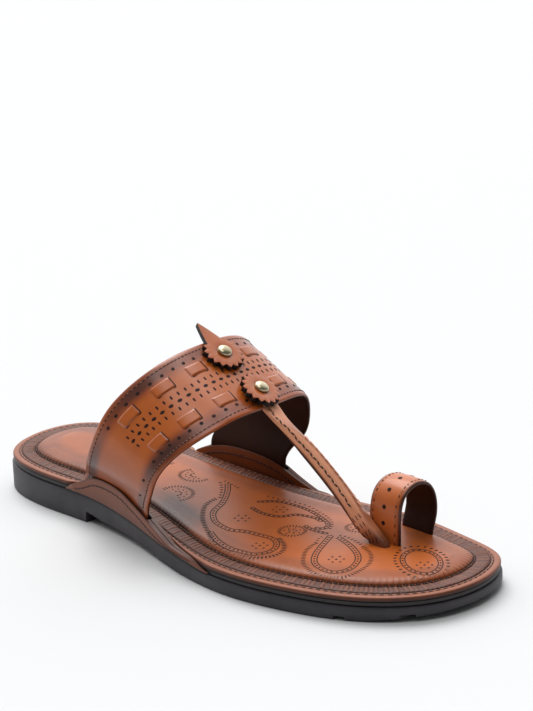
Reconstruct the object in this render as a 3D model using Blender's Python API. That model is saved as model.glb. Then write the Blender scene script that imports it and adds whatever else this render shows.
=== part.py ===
"""Kolhapuri sandal for the right foot, built as the separate pieces of the real shoe.

Metres, +Z up, toe along +Y, the wearer's right side (lateral) along +X.
Heights and places are worked out in the last's frame: x = 0 on the heel's axis, y = 0 at the
back of the heel, z = 0 on the floor. The empty called sandal moves that frame so that the
origin lies under the middle of the shoe.
"""
import math

import bmesh
import bpy
import numpy as np
from mathutils import Matrix, Vector

# Outline of the footbed
LENGTH = 0.275
HEEL_WIDTH = 0.0705
WAIST_WIDTH = 0.0767
BALL_WIDTH = 0.1010

# Heights of the footbed's edge above the floor, and the layers below it
HEEL_HEIGHT = 0.0172
FOREFOOT_HEIGHT = 0.0108
TOE_SPRING = 0.0005
COVER = 0.0018
MIDSOLE = 0.0020
MIDSOLE_INSET = 0.0003
MIDSOLE_BEVEL = 0.0003
GAP = 0.0003

# Outsole
OUTSOLE_PROUD = 0.0006
OUTSOLE_BEVEL = 0.0006
TOE_BEVEL = 0.0030
HEEL_LENGTH = 0.0770
BREAST_STEP = 0.0056
WAIST_LENGTH = 0.0830
GROOVE_WIDTH = 0.0044
GROOVE_DEPTH = 0.0018
CUTTER_REACH = 0.0050

# Border of the footbed, measured inwards from its edge, and the cushion inside it
EDGE_DRAW = 0.0005
EDGE_ROUND = 0.0004
PLAIN_EDGE = 0.0040
BAND_WIDTH = 0.0070
BAND_ROOM = 0.0003
BAND_SEAT = 0.0005
SEAT_SLOPE = 0.0001
BAND_RISE = 0.0007
CUSHION_START = 0.0006
CUSHION_RISE = 0.0026
CUSHION_SHOULDER = 0.0075
CUSHION_CROWN = 0.0006

# Ears at the waist
EAR_TUCK = 0.0028
EAR_EASE = 0.0070
EAR_OUTER = 0.0011
EAR_INNER = 0.0010
EAR_FLOOR = 0.0016
EAR_MARGIN = 0.0016
EAR_LIP = 0.0004
EAR_HEIGHT = 0.0130
LATERAL_EAR_REAR = 0.0640
LATERAL_EAR_LENGTH = 0.1020
MEDIAL_EAR_REAR = 0.0740
MEDIAL_EAR_LENGTH = 0.0840

# Instep strap
STRAP_WALL = 0.0018
STRAP_ROUND = 0.0004
STRAP_HEIGHT = 0.0860
STRAP_SPAN = 0.0860
STRAP_REACH = 0.0860
STRAP_START = 0.0735
FOOT_ROOM = 0.0005
TAB_LENGTH = 0.0110
TAB_WIDTH = 0.0064
TAB_RISE = 0.0006
TAB_SLOPE = 0.00025
TAB_PITCH = 0.0183
TABS_A_SIDE = 3

# Rosettes and rivets
ROSETTE_RADIUS = 0.0102
ROSETTE_TOOTH = 0.0017
ROSETTE_TEETH = 16
ROSETTE_THICKNESS = 0.0024
SPIKE_LENGTH = 0.0205
SPIKE_WIDTH = 0.0085
RIVET_RADIUS = 0.0034
RIVET_DOME = 0.0019
RIVET_RIM = 0.0004
SHANK_RADIUS = 0.0012
TAIL_RADIUS = 0.0026
TAIL_THICKNESS = 0.0007

# Toe strap
TOE_STRAP_WIDTH = 0.0070
TOE_STRAP_THICKNESS = 0.0075
TOE_STRAP_END = 0.0012
TOE_STRAP_APART = 0.0165
BRAID_PITCH = 0.0034
BRAID_RISE = 0.0005

# Toe ring
RING_WIDTH = 0.0175
RING_WALL = 0.0018
RING_OUTER = 0.0266
RING_RISE = 0.0260
RING_ROUND = 0.0004
RING_INSET = 0.02395
RING_REAR = 0.2118

# Mesh fineness
SIDE_POINTS = 44
CAP_COLUMNS = 8

# Outline: width that the row follows, across (share of its half), along (share of LENGTH)
OUTLINE = (
    (HEEL_WIDTH, 0.000, 0.000),
    (HEEL_WIDTH, 0.752, 0.046),
    (HEEL_WIDTH, 0.996, 0.130),
    (HEEL_WIDTH, 1.018, 0.273),
    (WAIST_WIDTH, 1.038, 0.415),
    (BALL_WIDTH, 0.964, 0.556),
    (BALL_WIDTH, 1.036, 0.681),
    (BALL_WIDTH, 0.935, 0.794),
    (BALL_WIDTH, 0.701, 0.902),
    (BALL_WIDTH, 0.279, 0.980),
    (BALL_WIDTH, -0.301, 0.998),
    (BALL_WIDTH, -0.725, 0.959),
    (BALL_WIDTH, -0.883, 0.872),
    (BALL_WIDTH, -0.966, 0.741),
    (BALL_WIDTH, -0.855, 0.596),
    (WAIST_WIDTH, -0.960, 0.438),
    (HEEL_WIDTH, -0.970, 0.276),
    (HEEL_WIDTH, -0.976, 0.112),
    (HEEL_WIDTH, -0.647, 0.020),
)

# Waist's arch: along (share of WAIST_LENGTH, from the heel's breast), height (share of BREAST_STEP)
WAIST_ARCH = ((0.010, 1.00), (0.145, 0.70), (0.482, 0.56), (0.771, 0.22), (1.000, 0.00))

# Rear edges of the two cross grooves under the forefoot, as shares of LENGTH
GROOVES = (0.870, 0.953)

# Ear's top edge: along (share of the ear's length), height (share of EAR_HEIGHT)
LATERAL_EAR_TOP = ((0.00, 0.06), (0.08, 0.42), (0.17, 0.72), (0.30, 0.97), (0.38, 0.98), (0.50, 0.84),
                   (0.60, 0.68), (0.70, 0.50), (0.80, 0.33), (0.90, 0.18), (1.00, 0.06))
MEDIAL_EAR_TOP = ((0.00, 0.06), (0.10, 0.48), (0.22, 0.78), (0.36, 0.96), (0.50, 1.00), (0.62, 0.94),
                  (0.74, 0.70), (0.86, 0.38), (1.00, 0.06))

# Instep strap, from the lateral foot over the crown to the medial foot: rear edge and front edge,
# across (share of STRAP_SPAN), along (share of STRAP_REACH, from STRAP_START), height (share of
# STRAP_HEIGHT). The two rows at each end stand in the ears and take x from the outline, and the first
# and last row stand on the floor of the ear's pocket.
STRAP = (
    (0.415, 0.035, 0.175, 0.485, 0.600, 0.145),
    (0.415, 0.060, 0.285, 0.490, 0.625, 0.262),
    (0.490, 0.165, 0.400, 0.515, 0.712, 0.345),
    (0.508, 0.240, 0.525, 0.522, 0.755, 0.430),
    (0.460, 0.330, 0.715, 0.480, 0.845, 0.550),
    (0.320, 0.460, 0.890, 0.370, 0.920, 0.650),
    (0.120, 0.500, 0.960, 0.165, 0.985, 0.725),
    (-0.080, 0.500, 0.975, -0.060, 0.960, 0.720),
    (-0.275, 0.475, 0.960, -0.275, 0.915, 0.705),
    (-0.435, 0.425, 0.885, -0.440, 0.870, 0.665),
    (-0.490, 0.350, 0.740, -0.520, 0.815, 0.545),
    (-0.480, 0.265, 0.510, -0.525, 0.755, 0.395),
    (-0.400, 0.175, 0.290, -0.447, 0.700, 0.275),
    (-0.400, 0.165, 0.175, -0.447, 0.695, 0.140),
)
STRAP_FOOT_ROWS = 2

# Rows of tabs and rivets across the strap, as shares of the way from the rear edge to the front
REAR_TABS = 0.267
FRONT_TABS = 0.737
REAR_RIVET = 0.240
FRONT_RIVET = 0.825

# Toe strap from the instep strap's front edge to its foot: along (share of the run), height (share
# of the drop to the footbed), dip of the section's normal in degrees, width and thickness (shares
# of the named sizes), roll to the medial side in degrees
TOE_STRAP = (
    (0.000, 0.992, 33, 1.30, 0.27, 0),
    (0.090, 0.905, 36, 1.15, 0.42, 8),
    (0.200, 0.815, 37, 0.98, 0.70, 25),
    (0.350, 0.690, 37, 0.88, 0.95, 42),
    (0.520, 0.535, 37, 0.86, 1.00, 45),
    (0.700, 0.350, 40, 0.88, 1.00, 42),
    (0.852, 0.169, 50, 0.86, 1.10, 16),
    (0.939, 0.075, 68, 0.74, 1.46, 0),
    (0.985, 0.030, 87, 0.70, 1.74, 0),
    (0.990, -0.090, 90, 0.70, 1.76, 0),
)

# Toe ring's mid-line: across (share of half RING_OUTER, + lateral), height (share of RING_RISE)
RING = (
    (0.985, -0.14),
    (0.960, 0.14),
    (0.930, 0.48),
    (0.700, 0.83),
    (0.280, 0.955),
    (-0.180, 0.965),
    (-0.620, 0.86),
    (-0.910, 0.56),
    (-0.860, 0.25),
    (-0.700, 0.03),
    (-0.660, -0.14),
)


def spline(points, closed=False):
    """Return knots 0..1 and a function through the points with smooth slope and bend."""
    points = np.asarray(points, float)
    if closed:
        points = np.vstack([points, points[:1]])
    steps = np.linalg.norm(np.diff(points, axis=0), axis=1)
    knots = np.concatenate([[0.0], np.cumsum(steps)]) / steps.sum()
    return knots, spline_on(knots, points, closed)


def spline_on(knots, points, closed=False):
    """Cubic spline through points at the given knots; straight beyond its ends if open."""
    knots = np.asarray(knots, float)
    points = np.asarray(points, float)
    gaps = np.diff(knots)
    count = len(knots)
    system = np.zeros((count, count))
    slopes = np.diff(points, axis=0) / gaps[:, None]
    target = np.zeros_like(points)
    for row in range(1, count - 1):
        system[row, row - 1] = gaps[row - 1]
        system[row, row] = 2 * (gaps[row - 1] + gaps[row])
        system[row, row + 1] = gaps[row]
        target[row] = 6 * (slopes[row] - slopes[row - 1])
    if closed:
        system[0, 0] = 2 * (gaps[-1] + gaps[0])
        system[0, 1] = gaps[0]
        system[0, -2] = gaps[-1]
        target[0] = 6 * (slopes[0] - slopes[-1])
        system[-1, 0] = 1
        system[-1, -1] = -1
    else:
        system[0, 0] = 1
        system[-1, -1] = 1
    bends = np.linalg.solve(system, target)

    def at(value):
        value = np.atleast_1d(np.asarray(value, float))
        inside = np.clip(value, knots[0], knots[-1])
        part = np.clip(np.searchsorted(knots, inside, side="right") - 1, 0, count - 2)
        gap = gaps[part][:, None]
        right = (inside - knots[part])[:, None]
        left = gap - right
        place = (bends[part] * left ** 3 + bends[part + 1] * right ** 3) / (6 * gap)
        place += (points[part] / gap - bends[part] * gap / 6) * left
        place += (points[part + 1] / gap - bends[part + 1] * gap / 6) * right
        return place

    return at


def smooth(share):
    """Ease from 0 to 1."""
    share = np.clip(share, 0.0, 1.0)
    return share * share * (3 - 2 * share)


def table(rows, value):
    """Read a two-column table of hand-chosen shares, with straight runs between rows."""
    rows = np.asarray(rows, float)
    return np.interp(value, rows[:, 0], rows[:, 1])


# The outline as two sides from the heel's back to the toe's tip

def outline_sides():
    """Points up the lateral side, points up the medial side, and outward normals of each."""
    rows = [(across * width / 2, along * LENGTH) for width, across, along in OUTLINE]
    _, curve = spline(rows, closed=True)
    ring = curve(np.linspace(0, 1, 1601)[:-1])
    ring[:, 1] -= ring[:, 1].min()
    ring[:, 1] *= LENGTH / ring[:, 1].max()
    heel = int(ring[:, 1].argmin())
    ring = np.roll(ring, -heel, axis=0)
    toe = int(ring[:, 1].argmax())
    tangent = np.roll(ring, -1, axis=0) - np.roll(ring, 1, axis=0)
    tangent /= np.linalg.norm(tangent, axis=1)[:, None]
    normal = np.stack([tangent[:, 1], -tangent[:, 0]], axis=1)
    sides = []
    for part in (np.arange(0, toe + 1), np.append(np.arange(toe, len(ring)), 0)[::-1]):
        steps = np.linalg.norm(np.diff(ring[part], axis=0), axis=1)
        run = np.concatenate([[0], np.cumsum(steps)]) / steps.sum()
        even = np.linspace(0, 1, SIDE_POINTS + 1)
        place = np.stack([np.interp(even, run, ring[part, k]) for k in (0, 1)], axis=1)
        facing = np.stack([np.interp(even, run, normal[part, k]) for k in (0, 1)], axis=1)
        sides.append((place, facing, ring[part], normal[part]))
    return sides


LATERAL, MEDIAL = outline_sides()
X_MIDDLE = (LATERAL[2][:, 0].max() + MEDIAL[2][:, 0].min()) / 2


def side_at(side, y, offset):
    """x and y of the outline's lateral or medial side at y, moved outwards by offset."""
    _, _, place, facing = side
    order = slice(None) if place[0, 1] < place[-1, 1] else slice(None, None, -1)
    x = np.interp(y, place[order, 1], place[order, 0])
    nx = np.interp(y, place[order, 1], facing[order, 0])
    ny = np.interp(y, place[order, 1], facing[order, 1])
    return x + nx * offset, y + ny * offset


# The toe ring stands inside the medial edge, and the toe strap beside it

RING_MIDDLE = RING_REAR + RING_WIDTH / 2
RING_X = float(side_at(MEDIAL, RING_MIDDLE, 0.0)[0]) + RING_INSET
TOE_STRAP_X = RING_X + TOE_STRAP_APART


# Heights of the layers

def edge_height(y):
    """Top of the footbed's border: level at the heel, down through the waist, level again."""
    drop = smooth((y / LENGTH - 0.25) / 0.41)
    spring = np.clip(y / LENGTH - 0.85, 0, None) / 0.15
    return HEEL_HEIGHT + (FOREFOOT_HEIGHT - HEEL_HEIGHT) * drop + TOE_SPRING * spring ** 2


def midsole_top(y):
    return edge_height(y) - COVER - GAP


def outsole_top(y):
    return midsole_top(y) - MIDSOLE - GAP


def outsole_bottom(y):
    rise = np.clip(y / LENGTH - 0.86, 0, None) / 0.14
    return TOE_BEVEL * rise ** 1.6


def ear_span(y, rear, length):
    """1 along an ear, easing to 0 just past its two ends."""
    reach = 2 * EAR_EASE
    return smooth((y - rear + reach) / EAR_EASE) * smooth((rear + length + reach - y) / EAR_EASE)


def tucked(y, offset, side):
    """Offset of a footbed ring: the plain edge draws in beside the ears, the rest stays."""
    rear, length = ((LATERAL_EAR_REAR, LATERAL_EAR_LENGTH) if side is LATERAL
                    else (MEDIAL_EAR_REAR, MEDIAL_EAR_LENGTH))
    share = np.clip(1 + offset / (PLAIN_EDGE - SEAT_SLOPE), 0, 1)
    return offset - EAR_TUCK * share * ear_span(y, rear, length)


# Meshes

def material(name, colour, roughness, metallic=0.0):
    made = bpy.data.materials.new(name)
    made.use_nodes = True
    shader = made.node_tree.nodes["Principled BSDF"]
    shader.inputs["Base Color"].default_value = (*colour, 1.0)
    shader.inputs["Roughness"].default_value = roughness
    shader.inputs["Metallic"].default_value = metallic
    made.diffuse_color = (*colour, 1.0)
    return made


def add(name, vertices, faces, look):
    """Make a named object from a closed surface, with its faces turned outwards."""
    mesh = bpy.data.meshes.new(name)
    mesh.from_pydata([tuple(map(float, v)) for v in vertices], [], faces)
    work = bmesh.new()
    work.from_mesh(mesh)
    bmesh.ops.remove_doubles(work, verts=work.verts, dist=1e-7)
    bmesh.ops.recalc_face_normals(work, faces=work.faces)
    work.to_mesh(mesh)
    work.free()
    mesh.shade_smooth()
    mesh.set_sharp_from_angle(angle=math.radians(35))
    mesh.materials.append(look)
    made = bpy.data.objects.new(name, mesh)
    bpy.context.scene.collection.objects.link(made)
    made.parent = SANDAL
    return made


def cut(target, cutter, kind="DIFFERENCE"):
    """Boolean with another object, which then only guides."""
    change = target.modifiers.new(kind.lower() + "_" + cutter.name, "BOOLEAN")
    change.operation = kind
    change.solver = "EXACT"
    change.object = cutter
    cutter.hide_render = True
    cutter.display_type = "WIRE"


def loop_points(offset, height, tuck):
    """One ring round the outline: up the lateral side, then down the medial side."""
    sides = []
    for side in (LATERAL, MEDIAL):
        place, facing = side[0], side[1]
        moved = np.full(len(place), offset)
        if tuck:
            moved = tucked(place[:, 1], moved, side)
        at = place + facing * moved[:, None]
        z = height(place[:, 1])
        sides.append(np.column_stack([at, z]))
    return np.vstack([sides[0], sides[1][-2:0:-1]])


def layer(name, rings, look, tuck=False, crown=0.0, columns=2):
    """A sole layer: rings (offset, height function) from the bottom up, closed by two caps."""
    loops = [loop_points(offset, height, tuck) for offset, height in rings]
    around = len(loops[0])
    vertices = [point for loop in loops for point in loop]
    faces = []
    for low in range(len(loops) - 1):
        for i in range(around):
            j = (i + 1) % around
            faces.append((low * around + i, low * around + j, (low + 1) * around + j, (low + 1) * around + i))
    cap(vertices, faces, 0, around, 0.0, 2)
    cap(vertices, faces, (len(loops) - 1) * around, around, crown, columns)
    return add(name, vertices, faces, look)


def cap(vertices, faces, start, around, swell, columns):
    """Close a ring with rungs from the lateral to the medial side, crowned by swell."""
    rows = []
    for i in range(1, SIDE_POINTS):
        lateral, medial = start + i, start + around - i
        row = [lateral]
        for k in range(1, columns):
            share = k / columns
            point = (1 - share) * np.array(vertices[lateral]) + share * np.array(vertices[medial])
            ends = smooth(min(i, SIDE_POINTS - i) / 6)
            point[2] += swell * ends * (1 - (2 * share - 1) ** 2)
            row.append(len(vertices))
            vertices.append(point)
        rows.append(row + [medial])
    for first, second in zip(rows, rows[1:]):
        for k in range(columns):
            faces.append((first[k], second[k], second[k + 1], first[k + 1]))
    for tip, row in ((start, rows[0]), (start + SIDE_POINTS, rows[-1])):
        for k in range(columns):
            faces.append((tip, row[k], row[k + 1]))


def prism(name, outline, x_from, x_to, look):
    """A profile in y and z, drawn along x."""
    vertices = [(x_from, y, z) for y, z in outline] + [(x_to, y, z) for y, z in outline]
    count = len(outline)
    faces = [tuple(range(count)), tuple(range(count, 2 * count))]
    faces += [(i, (i + 1) % count, count + (i + 1) % count, count + i) for i in range(count)]
    return add(name, vertices, faces, look)


def sweep(name, sections, look):
    """A tube through sections of equally many points, with flat ends."""
    count = len(sections[0])
    vertices = [point for section in sections for point in section]
    faces = [tuple(range(count)), tuple(range((len(sections) - 1) * count, len(sections) * count))]
    for row in range(len(sections) - 1):
        for i in range(count):
            j = (i + 1) % count
            faces.append((row * count + i, row * count + j, (row + 1) * count + j, (row + 1) * count + i))
    return add(name, vertices, faces, look)


# Sole

def make_outsole():
    outsole = layer("outsole", (
        (OUTSOLE_PROUD - OUTSOLE_BEVEL, outsole_bottom),
        (OUTSOLE_PROUD, lambda y: outsole_bottom(y) + OUTSOLE_BEVEL),
        (OUTSOLE_PROUD, lambda y: outsole_top(y) - OUTSOLE_BEVEL),
        (OUTSOLE_PROUD - OUTSOLE_BEVEL, outsole_top),
    ), RUBBER)
    wide = BALL_WIDTH
    below = -CUTTER_REACH
    arch = [(HEEL_LENGTH + along * WAIST_LENGTH, height * BREAST_STEP) for along, height in WAIST_ARCH]
    arch = [(HEEL_LENGTH, below), *arch, (HEEL_LENGTH + WAIST_LENGTH, below)]
    cut(outsole, prism("waist_cutter", arch, -wide, wide, RUBBER))
    for number, along in enumerate(GROOVES):
        y = along * LENGTH
        top = outsole_bottom(y) + GROOVE_DEPTH
        groove = prism(f"groove_cutter_{number + 1}", (
            (y, below), (y, top), (y + GROOVE_WIDTH, top), (y + GROOVE_WIDTH, below),
        ), -wide, wide, RUBBER)
        cut(outsole, groove)
    return outsole


def make_midsole():
    drawn = -MIDSOLE_INSET - MIDSOLE_BEVEL
    return layer("midsole", (
        (drawn, lambda y: outsole_top(y) + GAP),
        (-MIDSOLE_INSET, lambda y: outsole_top(y) + GAP + MIDSOLE_BEVEL),
        (-MIDSOLE_INSET, lambda y: midsole_top(y) - MIDSOLE_BEVEL),
        (drawn, midsole_top),
    ), BOARD, tuck=True)


def make_insole():
    band_out = -PLAIN_EDGE
    band_in = band_out - BAND_WIDTH
    foot = band_in - CUSHION_START
    rings = [
        (0.0, lambda y: edge_height(y) - COVER),
        (0.0, lambda y: edge_height(y) - EDGE_ROUND),
        (-EDGE_DRAW, edge_height),
        (band_out, edge_height),
        (band_out - SEAT_SLOPE, lambda y: edge_height(y) - BAND_SEAT),
        (band_in, lambda y: edge_height(y) - BAND_SEAT),
        (band_in - SEAT_SLOPE, edge_height),
    ]
    for turn in (0, 35, 90):
        angle = math.radians(turn)
        offset = foot - CUSHION_SHOULDER * (1 - math.cos(angle)) ** 1.5
        rise = CUSHION_RISE * math.sin(angle)
        rings.append((offset, lambda y, rise=rise: edge_height(y) + rise))
    return layer("insole", rings, LEATHER, tuck=True, crown=CUSHION_CROWN, columns=CAP_COLUMNS)


def make_band():
    """The pleated band: a closed ring with a low rounded top, in the border's seat."""
    start = -PLAIN_EDGE - BAND_ROOM
    end = -PLAIN_EDGE - BAND_WIDTH + BAND_ROOM
    section = [(start, -BAND_SEAT + GAP)]
    for share in (0.0, 0.35, 0.65, 1.0):
        offset = start + share * (end - start)
        section.append((offset, BAND_RISE * (0.55 + 0.45 * math.sin(math.pi * share))))
    section.append((end, -BAND_SEAT + GAP))
    loops = [loop_points(offset, lambda y, h=h: edge_height(y) + h, False) for offset, h in section]
    around = len(loops[0])
    count = len(section)
    vertices = [loop[i] for i in range(around) for loop in loops]
    faces = []
    for i in range(around):
        j = (i + 1) % around
        for k in range(count):
            m = (k + 1) % count
            faces.append((i * count + k, j * count + k, j * count + m, i * count + m))
    return add("braid_band", vertices, faces, DARK_LEATHER)


# Ears

POCKET = STRAP_WALL + 2 * GAP
EAR_INSIDE = -EAR_TUCK + GAP
STRAP_OFFSET = EAR_INSIDE + EAR_INNER + POCKET / 2


def make_ear(name, side, rear, length, top_rows, strap_rear, strap_front):
    """Two leather layers with a pocket between them where the strap's foot stands."""
    pocket_rear = strap_rear - EAR_MARGIN
    pocket_front = strap_front + EAR_MARGIN
    stops = set(np.linspace(rear, rear + length, 19))
    stops.update((pocket_rear - EAR_LIP, pocket_rear, pocket_front, pocket_front + EAR_LIP))
    inner = EAR_INSIDE
    pocket_in = inner + EAR_INNER
    pocket_out = pocket_in + POCKET
    outer = pocket_out + EAR_OUTER
    sections = []
    for y in sorted(stops):
        base = float(outsole_top(y)) + GAP
        top = base + EAR_HEIGHT * table(top_rows, (y - rear) / length)
        open_here = pocket_rear - 1e-9 <= y <= pocket_front + 1e-9
        floor = min(base + EAR_FLOOR, top - EAR_LIP) if open_here else top - EAR_LIP
        section = []
        for offset, z in ((inner, base), (outer, base), (outer, top), (pocket_out, top),
                          (pocket_out, floor), (pocket_in, floor), (pocket_in, top), (inner, top)):
            x, at = side_at(side, y, offset)
            section.append((x, at, z))
        sections.append(section)
    return sweep(name, sections, LEATHER)


# Instep strap

def strap_edges():
    """Rear and front edge of the strap as splines on shared knots."""
    rows = np.asarray(STRAP, float)
    edges = []
    for first in (0, 3):
        across = rows[:, first] * STRAP_SPAN
        along = STRAP_START + rows[:, first + 1] * STRAP_REACH
        height = rows[:, first + 2] * STRAP_HEIGHT
        for end, side in ((range(STRAP_FOOT_ROWS), LATERAL),
                          (range(len(rows) - STRAP_FOOT_ROWS, len(rows)), MEDIAL)):
            for row in end:
                across[row] = side_at(side, along[row], STRAP_OFFSET)[0]
        for row in (0, len(rows) - 1):
            height[row] = outsole_top(along[row]) + EAR_FLOOR + 2 * GAP + FOOT_ROOM
        edges.append(np.column_stack([across, along, height]))
    knots, _ = spline((edges[0] + edges[1]) / 2)
    return knots, edges, spline_on(knots, edges[0]), spline_on(knots, edges[1])


STRAP_KNOTS, STRAP_ROWS, STRAP_REAR_EDGE, STRAP_FRONT_EDGE = strap_edges()
STRAP_RUN = STRAP_REAR_EDGE(np.linspace(0, 1, 801)) / 2 + STRAP_FRONT_EDGE(np.linspace(0, 1, 801)) / 2
STRAP_RUN = np.concatenate([[0], np.cumsum(np.linalg.norm(np.diff(STRAP_RUN, axis=0), axis=1))])


def strap_share(distance):
    """Knot value at a distance along the strap's middle, from its lateral foot."""
    return np.interp(distance, STRAP_RUN, np.linspace(0, 1, 801))


def strap_middle(u, v):
    """Mid-surface of the strap: straight from the rear edge (v = 0) to the front edge (v = 1)."""
    u = np.atleast_1d(np.asarray(u, float))
    v = np.broadcast_to(np.asarray(v, float), u.shape)
    place = STRAP_REAR_EDGE(u) * (1 - v)[:, None] + STRAP_FRONT_EDGE(u) * v[:, None]
    for side, low, high in ((LATERAL, STRAP_KNOTS[1], STRAP_KNOTS[3]),
                            (MEDIAL, STRAP_KNOTS[-2], STRAP_KNOTS[-4])):
        wall = side_at(side, place[:, 1], STRAP_OFFSET)[0]
        hold = 1 - smooth((u - low) / (high - low))
        place[:, 0] += (wall - place[:, 0]) * hold * (np.abs(v - 0.5) <= 0.5)
    return place


def strap_point(u, v, lift):
    """A point lifted off the mid-surface, outwards."""
    u = np.atleast_1d(np.asarray(u, float))
    v = np.broadcast_to(np.asarray(v, float), u.shape)
    step = 1e-3
    along = strap_middle(u + step, v) - strap_middle(u - step, v)
    across = strap_middle(u, v + step) - strap_middle(u, v - step)
    normal = np.cross(across, along)
    normal /= np.linalg.norm(normal, axis=1)[:, None]
    return strap_middle(u, v) + normal * lift


def crown_share():
    """Knot value where the rivets stand, above the toe strap."""
    values = np.linspace(0.3, 0.7, 401)
    across = strap_middle(values, 0.5)[:, 0]
    return float(values[np.abs(across - TOE_STRAP_X).argmin()])


CROWN = crown_share()
CROWN_RUN = float(np.interp(CROWN, np.linspace(0, 1, 801), STRAP_RUN))
STRAP_WIDTH = float(np.linalg.norm(STRAP_FRONT_EDGE(CROWN) - STRAP_REAR_EDGE(CROWN)))


def tab_grid():
    """Lines along and across the strap, and which cells a tab raises."""
    centres = [CROWN_RUN + sign * TAB_PITCH * number for sign in (-1, 1) for number in range(1, TABS_A_SIDE + 1)]
    along = list(np.linspace(0, STRAP_RUN[-1], 25))
    for centre in centres:
        near = TAB_LENGTH / 2
        along = [d for d in along if abs(d - centre) > near + 3 * TAB_SLOPE]
        along += [centre - near - TAB_SLOPE, centre - near, centre, centre + near, centre + near + TAB_SLOPE]
    across = [0.0, 0.02, 0.10, 0.5, 0.90, 0.98, 1.0]
    half = TAB_WIDTH / 2 / STRAP_WIDTH
    edge = TAB_SLOPE / STRAP_WIDTH
    for row in (REAR_TABS, FRONT_TABS):
        across += [row - half - edge, row - half, row + half, row + half + edge]
    along = np.array(sorted(along))
    across = np.array(sorted(across))
    on_tab = np.zeros((len(along), len(across)), bool)
    for i, distance in enumerate(along):
        near_tab = min(abs(distance - centre) for centre in centres) < TAB_LENGTH / 2 + TAB_SLOPE / 2
        for k, share in enumerate(across):
            near_row = min(abs(share - row) for row in (REAR_TABS, FRONT_TABS)) < half + edge / 2
            on_tab[i, k] = near_tab and near_row
    return strap_share(along), across, on_tab


def make_instep_strap(name):
    values, across, on_tab = tab_grid()
    count = len(across)
    half = STRAP_WALL / 2
    outside = []
    inside = []
    for i, u in enumerate(values):
        lift = np.full(count, half)
        lift[[0, -1]] -= STRAP_ROUND
        lower = -lift
        lift = lift + TAB_RISE * on_tab[i]
        outside.append([strap_point(u, v, h)[0] for v, h in zip(across, lift)])
        inside.append([strap_point(u, v, h)[0] for v, h in zip(across, lower)])
    vertices = [p for row in outside for p in row] + [p for row in inside for p in row]
    base = len(values) * count
    faces = []
    for i in range(len(values) - 1):
        for k in range(count - 1):
            a, b = i * count + k, (i + 1) * count + k
            faces.append((a, b, b + 1, a + 1))
            faces.append((base + a, base + a + 1, base + b + 1, base + b))
        for k in (0, count - 1):
            a, b = i * count + k, (i + 1) * count + k
            faces.append((a, b, base + b, base + a))
    for i in (0, len(values) - 1):
        for k in range(count - 1):
            a = i * count + k
            faces.append((a, a + 1, base + a + 1, base + a))
    return add(name, vertices, faces, LEATHER)


# Toe strap and toe ring

def footbed_top(y):
    return float(edge_height(y)) + CUSHION_RISE


def toe_strap_rows():
    """Centre, dip, width, thickness and roll: flat under the rosette, then down to the slot."""
    end = strap_point(CROWN, FRONT_RIVET - 0.14, STRAP_WALL / 2)[0]
    edge = strap_point(CROWN, 1.0, STRAP_WALL / 2)[0]
    dip = math.degrees(math.atan2(end[2] - edge[2], edge[1] - end[1]))
    foot_z = footbed_top(RING_MIDDLE)
    rows = [(TOE_STRAP_X, end[1], end[2], dip, 1.30, 0.25, 0.0)]
    for along, height, tilt, wide, thick, roll in TOE_STRAP:
        y = edge[1] + along * (RING_MIDDLE - edge[1])
        z = foot_z + height * (edge[2] - foot_z)
        rows.append((TOE_STRAP_X, y, z, tilt, wide, thick, roll))
    rows = np.array(rows)
    rows[-1, 2] = float(midsole_top(RING_MIDDLE)) + GAP
    return rows


def toe_strap_section(row, grow=0.0, strips=(0.0, 0.0)):
    """A rounded section; strips lift the lateral and the medial half of its upper face."""
    x, y, z, dip, wide, thick, roll = row
    dip = math.radians(dip)
    turn = math.radians(roll)
    side = np.array([1.0, 0.0, 0.0])
    up = np.array([0.0, math.sin(dip), math.cos(dip)])
    first = side * math.cos(turn) + up * math.sin(turn)
    second = up * math.cos(turn) - side * math.sin(turn)
    corners = 10
    section = []
    for k in range(corners):
        angle = 2 * math.pi * (k + 0.5) / corners
        c, s = math.cos(angle), math.sin(angle)
        a = math.copysign(abs(c) ** 0.6, c) * (wide * TOE_STRAP_WIDTH / 2 + grow)
        b = math.copysign(abs(s) ** 0.6, s) * (thick * TOE_STRAP_THICKNESS / 2 + grow)
        if s > 0.1:
            b += strips[0 if c > 0 else 1]
        section.append(np.array([x, y, z]) + first * a + second * b)
    return section


def toe_strap_sections():
    rows = toe_strap_rows()
    knots, _ = spline(rows[:, :3])
    path = spline_on(knots, rows)
    length = np.linalg.norm(np.diff(path(np.linspace(0, 1, 400))[:, :3], axis=0), axis=1).sum()
    stations = np.linspace(0, 1, int(length / BRAID_PITCH * 2) + 1)
    braided = (knots[2] + knots[3]) / 2, knots[-4]
    sections = []
    for number, share in enumerate(stations):
        strips = (0.0, 0.0)
        if braided[0] < share < braided[1]:
            strips = (BRAID_RISE, -BRAID_RISE / 3) if number % 2 else (-BRAID_RISE / 3, BRAID_RISE)
        row = path(share)[0]
        row[1] = min(row[1], rows[-1, 1])
        sections.append(toe_strap_section(row, 0.0, strips))
    return sections


def toe_strap_slot():
    """Cutter for the foot of the toe strap: its lowest section, drawn up and down."""
    above, below = toe_strap_rows()[-1].copy(), toe_strap_rows()[-1].copy()
    above[2] = footbed_top(RING_MIDDLE) + CUTTER_REACH
    below[2] -= CUTTER_REACH
    return [toe_strap_section(row, 1.5 * GAP) for row in (above, below)]


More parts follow.
